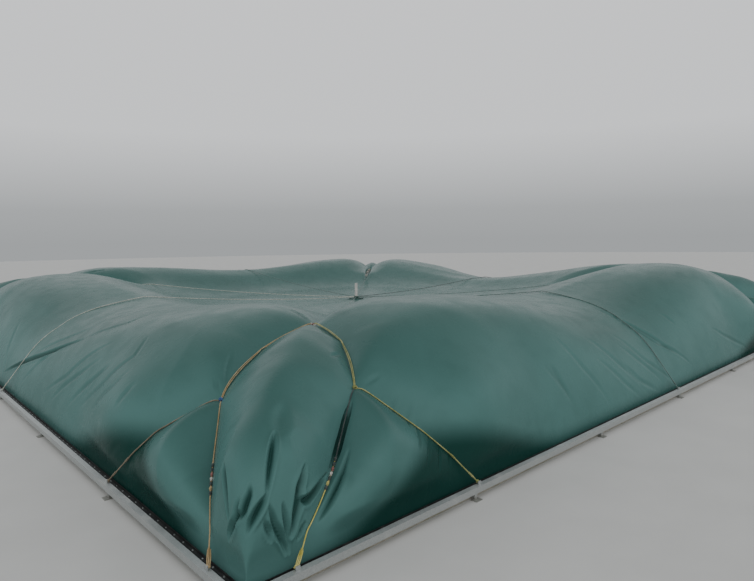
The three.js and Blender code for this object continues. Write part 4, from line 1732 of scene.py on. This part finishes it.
    def _centre_end(self, x: float, y: float) -> np.ndarray:
        """Lay the level end of a rope beside the collar.

        Args:
            x: Plan x of a point that the rope comes from.
            y: Plan y of that point.

        Returns:
            The last points of the rope.
        """
        way = unit(np.array([x, y]))
        z = self.shape.basin_z + self.collar_rise
        return np.array([(*(way * reach), z) for reach in self.collar_reaches])

    def middle_rope(self, side: int) -> bpy.types.Object:
        """Make the rope from the middle of a side to the middle of the cover.

        Args:
            side: Number of the side.

        Returns:
            The rope's object.
        """
        far = self.shape.foot_half
        low = np.linspace(self.foot_start, 1, self.foot_points) ** self.foot_ease
        high = np.linspace(self.above_foot, far - self.middle_gap, self.long_points)
        inward = np.concatenate([low, high])
        path = self._on_cover(side, 0, [(far, i) for i in inward], self.lift)
        ends = self._centre_end(*path[-1, :2])
        path = self._tied(path[::-1], self._lug(side, 0, far))[::-1]
        whole = np.concatenate([path[:2], self._taut(path[2:], ends[0]), ends])
        sketch = Sketch()
        colour = (RopeColour.MOSSY, RopeColour.DARK, RopeColour.MOSSY, RopeColour.FADED)[side]
        even = self._far_rope(sketch, whole)
        self._end_at_lug(sketch, even[::-1], 0, 31 + side)
        name = f"middle_rope_{SIDES[side]}"
        piece = sketch.build(name.replace("rope", "stay"), self.finishes.rope_set(colour), 60)
        return seat(piece, "rope", name)

    def diagonal_rope(self, corner: int) -> bpy.types.Object:
        """Make the rope from a corner's knot to the middle of the cover, with the knot's ring.

        Args:
            corner: Number of the corner.

        Returns:
            The rope's object.
        """
        inset = self.shape.node_inset
        last = self.shape.foot_half - self.diagonal_gap
        line = [(v, v) for v in np.linspace(inset + self.ring_gap, last, self.long_points)]
        path = self._on_cover(corner, 0, line, self.lift)
        ends = self._centre_end(*path[-1, :2])
        whole = np.concatenate([self._taut(path, ends[0]), ends])
        sketch = Sketch()
        self._far_rope(sketch, whole)
        here = np.array(self.shape.plan_point(corner, 0, inset, inset))[:, None]
        place = self.shape.surface(*here)[0]
        up = self.shape.normals(*here, self.ring_slope_step)[0]
        side = unit(np.cross(up, (1, 0, 0)))
        turn = circle(self.ring_points, True)[:, None]
        ring = self.ring_radius * (np.cos(turn) * side + np.sin(turn) * np.cross(up, side))
        sketch.add_tube(place + up * self.ring_lift + ring, self.ring_strand, 3, self.ring_sides)
        for n, finish in enumerate((2, 1, 2)):
            middle = place + self.ring_radius * (up + side * (n - 1))
            self._knot(sketch, middle, self.fork_knot, finish, 40 + 3 * corner + n)
        if corner == 2:
            for n, middle in enumerate(whole[list(self.proud_places)]):
                self._knot(sketch, middle + (0, 0, self.proud_lift), self.proud_knot, 2, 80 + n)
        name = f"diagonal_rope_{CORNERS[corner]}"
        main = (RopeColour.MOSSY, RopeColour.MOSSY, RopeColour.DARK, RopeColour.FADED)[corner]
        colours = self.finishes.rope_set(main, RopeColour.RED, RopeColour.WHITE) + [self.finishes.galvanised]
        piece = sketch.build(name.replace("rope", "stay"), colours, 60)
        return seat(piece, "rope", name)

    def build(self) -> None:
        """Make every rope."""
        for side in range(4):
            self.corner_rope(side, 0)
            self.corner_rope(side, 1)
            self.middle_rope(side)
            self.diagonal_rope(side)


# Edge and middle


@dataclass
class EdgeDress:
    """Finishes and fastenings of the kerb, skirt, clamp angle and rail along each side."""

    shape: CoverShape
    finishes: Finishes
    bolt_pitch: float = 0.3
    bolt_inset: float = 0.028
    bolt_size: float = 0.011
    bolt_height: float = 0.009
    washer: float = 0.014
    washer_height: float = 0.003
    angle_thickness: float = 0.006
    end_gap: float = 0.2
    kerb_bevel: float = 0.01
    skirt_bevel: float = 0.003
    angle_bevel: float = 0.002
    rail_bevel: float = 0.006
    pipe_bevel: float = 0.004
    collar_bevel: float = 0.006

    @staticmethod
    def dress(node: str, material: bpy.types.Material, bevel: float) -> None:
        """Give a node of the frame its material and softer edges.

        Args:
            node: Name of the node.
            material: Its material.
            bevel: Width of the softened edges.
        """
        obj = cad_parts[node]
        if not obj.material_slots:
            obj.data.materials.append(material)
        for slot in obj.material_slots:
            slot.link = "OBJECT"
            slot.material = material
        cut = obj.modifiers.new("soft_edges", "BEVEL")
        cut.width = bevel
        cut.segments = 2
        cut.limit_method = "ANGLE"
        cut.angle_limit = math.radians(35)
        cut.harden_normals = True

    @staticmethod
    def _prism(sketch: Sketch, base: np.ndarray, radius: float, height: float, sides: int) -> None:
        """Add an upright prism with a slightly smaller top.

        Args:
            sketch: The sketch that it is added to.
            base: Middle of its foot.
            radius: Its radius.
            height: Its height.
            sides: How many sides it has.
        """
        angle = circle(sides)
        ring = np.stack([np.cos(angle), np.sin(angle), np.zeros(sides)], -1)
        levels = ((1, 0), (1, 0.8), (0.86, 1), (0, 1))
        rings = [base + ring * radius * wide + (0, 0, height * z) for wide, z in levels]
        here = np.arange(sides)
        after = (here + 1) % sides
        step = np.array([[0], [sides]])
        wall = np.stack([step + here, step + after, step + sides + after, step + sides + here], -1)
        top = np.stack([2 * sides + here, 2 * sides + after, np.full(sides, 3 * sides)], -1)
        sketch.add(np.concatenate(rings)[: 3 * sides + 1], wall.reshape(-1, 4), top)

    def _bolts(self, side: int) -> bpy.types.Object:
        """Make the bolts along the clamp angle of one side.

        Args:
            side: Number of the side.

        Returns:
            The bolts.
        """
        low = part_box(f"clamp_angle_{SIDES[side]}")[0]
        length = 2 * self.shape.foot_half
        sketch = Sketch()
        for along in np.linspace(self.end_gap, length - self.end_gap, int(length / self.bolt_pitch)):
            x, y = self.shape.plan_point(side, 0, along, -self.bolt_inset)
            base = np.array([x, y, low.z + self.angle_thickness])
            self._prism(sketch, base, self.washer, self.washer_height, 12)
            self._prism(sketch, base + (0, 0, self.washer_height), self.bolt_size, self.bolt_height, 6)
        piece = sketch.build(f"clamp_bolts_{SIDES[side]}", [self.finishes.galvanised], 30)
        return seat(piece, "galvanised")

    def build(self) -> None:
        """Dress the four sides."""
        for side, name in enumerate(SIDES):
            self.dress(f"kerb_{name}", self.finishes.concrete, self.kerb_bevel)
            self.dress(f"skirt_{name}", self.finishes.rubber, self.skirt_bevel)
            self.dress(f"clamp_angle_{name}", self.finishes.clamp, self.angle_bevel)
            self.dress(f"edge_rail_{name}", self.finishes.galvanised, self.rail_bevel)
            self._bolts(side)
        self.dress("centre_pipe", self.finishes.pipe, self.pipe_bevel)
        self.dress("centre_collar", self.finishes.collar, self.collar_bevel)


# Floor, light and camera


@dataclass(frozen=True)
class Studio:
    """Pale floor, soft light and the camera."""

    place: tuple[float, float, float] = (-16.661, -19.372, 4.395)
    heading: float = 47.25
    pitch: float = 4.95
    roll: float = -0.74
    lens: float = 27.893
    sensor: float = 36.0
    floor_radius: float = 160.0
    floor_sides: int = 64
    floor_colour: Colour = (0.50, 0.50, 0.48)
    sky_bands: tuple[tuple[float, Colour], ...] = (
        (0.0, (0.40, 0.42, 0.43)),
        (0.05, (0.46, 0.48, 0.49)),
        (0.17, (0.86, 0.88, 0.90)),
        (0.45, (0.92, 0.93, 0.95)),
        (1.0, (0.66, 0.69, 0.73)),
    )
    lamp_energy: float = 0.6
    lamp_width: float = 60.0
    lamp_turn: Plan = (38.0, -28.0)
    lamp_colour: Colour = (1.0, 0.98, 0.95)

    def camera(self) -> None:
        """Place the camera and make it the scene's."""
        yaw, pitch, roll = (math.radians(turn) for turn in (self.heading, self.pitch, self.roll))
        level = math.cos(pitch)
        ahead = Vector((math.cos(yaw) * level, math.sin(yaw) * level, -math.sin(pitch)))
        right = Vector((math.sin(yaw), -math.cos(yaw), 0.0))
        up = right.cross(ahead)
        x = math.cos(roll) * right + math.sin(roll) * up
        y = -math.sin(roll) * right + math.cos(roll) * up
        data = bpy.data.cameras.new("photo_view")
        data.sensor_width = self.sensor
        data.sensor_fit = "HORIZONTAL"
        data.lens = self.lens
        data.clip_end = 500
        camera = bpy.data.objects.new("photo_view", data)
        turn = Matrix((x, y, -ahead)).transposed().to_4x4()
        camera.matrix_world = Matrix.Translation(self.place) @ turn
        bpy.context.scene.collection.objects.link(camera)
        bpy.context.scene.camera = camera

    def sky(self) -> None:
        """Light the scene evenly from all round, brightest above the horizon."""
        world = bpy.data.worlds.new("soft_sky")
        world.use_nodes = True
        tree = world.node_tree
        place = tree.nodes.new("ShaderNodeTexCoord")
        split = tree.nodes.new("ShaderNodeSeparateXYZ")
        ramp = tree.nodes.new("ShaderNodeValToRGB")
        tree.links.new(place.outputs["Generated"], split.inputs["Vector"])
        tree.links.new(split.outputs["Z"], ramp.inputs["Fac"])
        bands = ramp.color_ramp.elements
        while len(bands) < len(self.sky_bands):
            bands.new(0.5)
        for band, (height, colour) in zip(bands, self.sky_bands):
            band.position = height
            band.color = (*colour, 1)
        background = tree.nodes["Background"]
        tree.links.new(ramp.outputs["Color"], background.inputs["Color"])
        bpy.context.scene.world = world

    def lamp(self) -> None:
        """Add a very soft light from above the near corner."""
        data = bpy.data.lights.new("soft_key", "SUN")
        data.energy = self.lamp_energy
        data.angle = math.radians(self.lamp_width)
        data.color = self.lamp_colour
        lamp = bpy.data.objects.new("soft_key", data)
        lamp.rotation_euler = (*(math.radians(turn) for turn in self.lamp_turn), 0)
        bpy.context.scene.collection.objects.link(lamp)

    def floor(self) -> None:
        """Lay a plain pale floor."""
        count = self.floor_sides
        angle = circle(count)
        rim = np.stack([np.cos(angle), np.sin(angle), np.zeros(count)], -1) * self.floor_radius
        recipe = Recipe("pale_floor")
        darker = tuple(0.94 * part for part in self.floor_colour)
        colour = recipe.tint(self.floor_colour, darker, recipe.noise(0.6), 0.3, 0.7)
        sketch = Sketch()
        faces = np.array([(n, (n + 1) % count, count) for n in range(count)])
        sketch.add(np.concatenate([rim, [[0, 0, 0]]]), faces)
        sketch.build("floor", [recipe.finish(colour, 0.85)])

    def build(self) -> None:
        """Set up camera, light and floor."""
        self.camera()
        self.sky()
        self.lamp()
        self.floor()


def write_sizes() -> None:
    """Update the view layer."""
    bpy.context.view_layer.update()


def main() -> None:
    """Build the part's pieces in order, then update the view layer."""
    logging.basicConfig(level=logging.INFO, format="%(name)s: %(message)s", stream=sys.stdout)
    Studio().build()
    shape = CoverShape()
    finishes = Finishes()
    Cover(shape, finishes).build()
    RopeWork(shape, finishes).build()
    EdgeDress(shape, finishes).build()
    write_sizes()


if __name__ == "__main__":
    main()
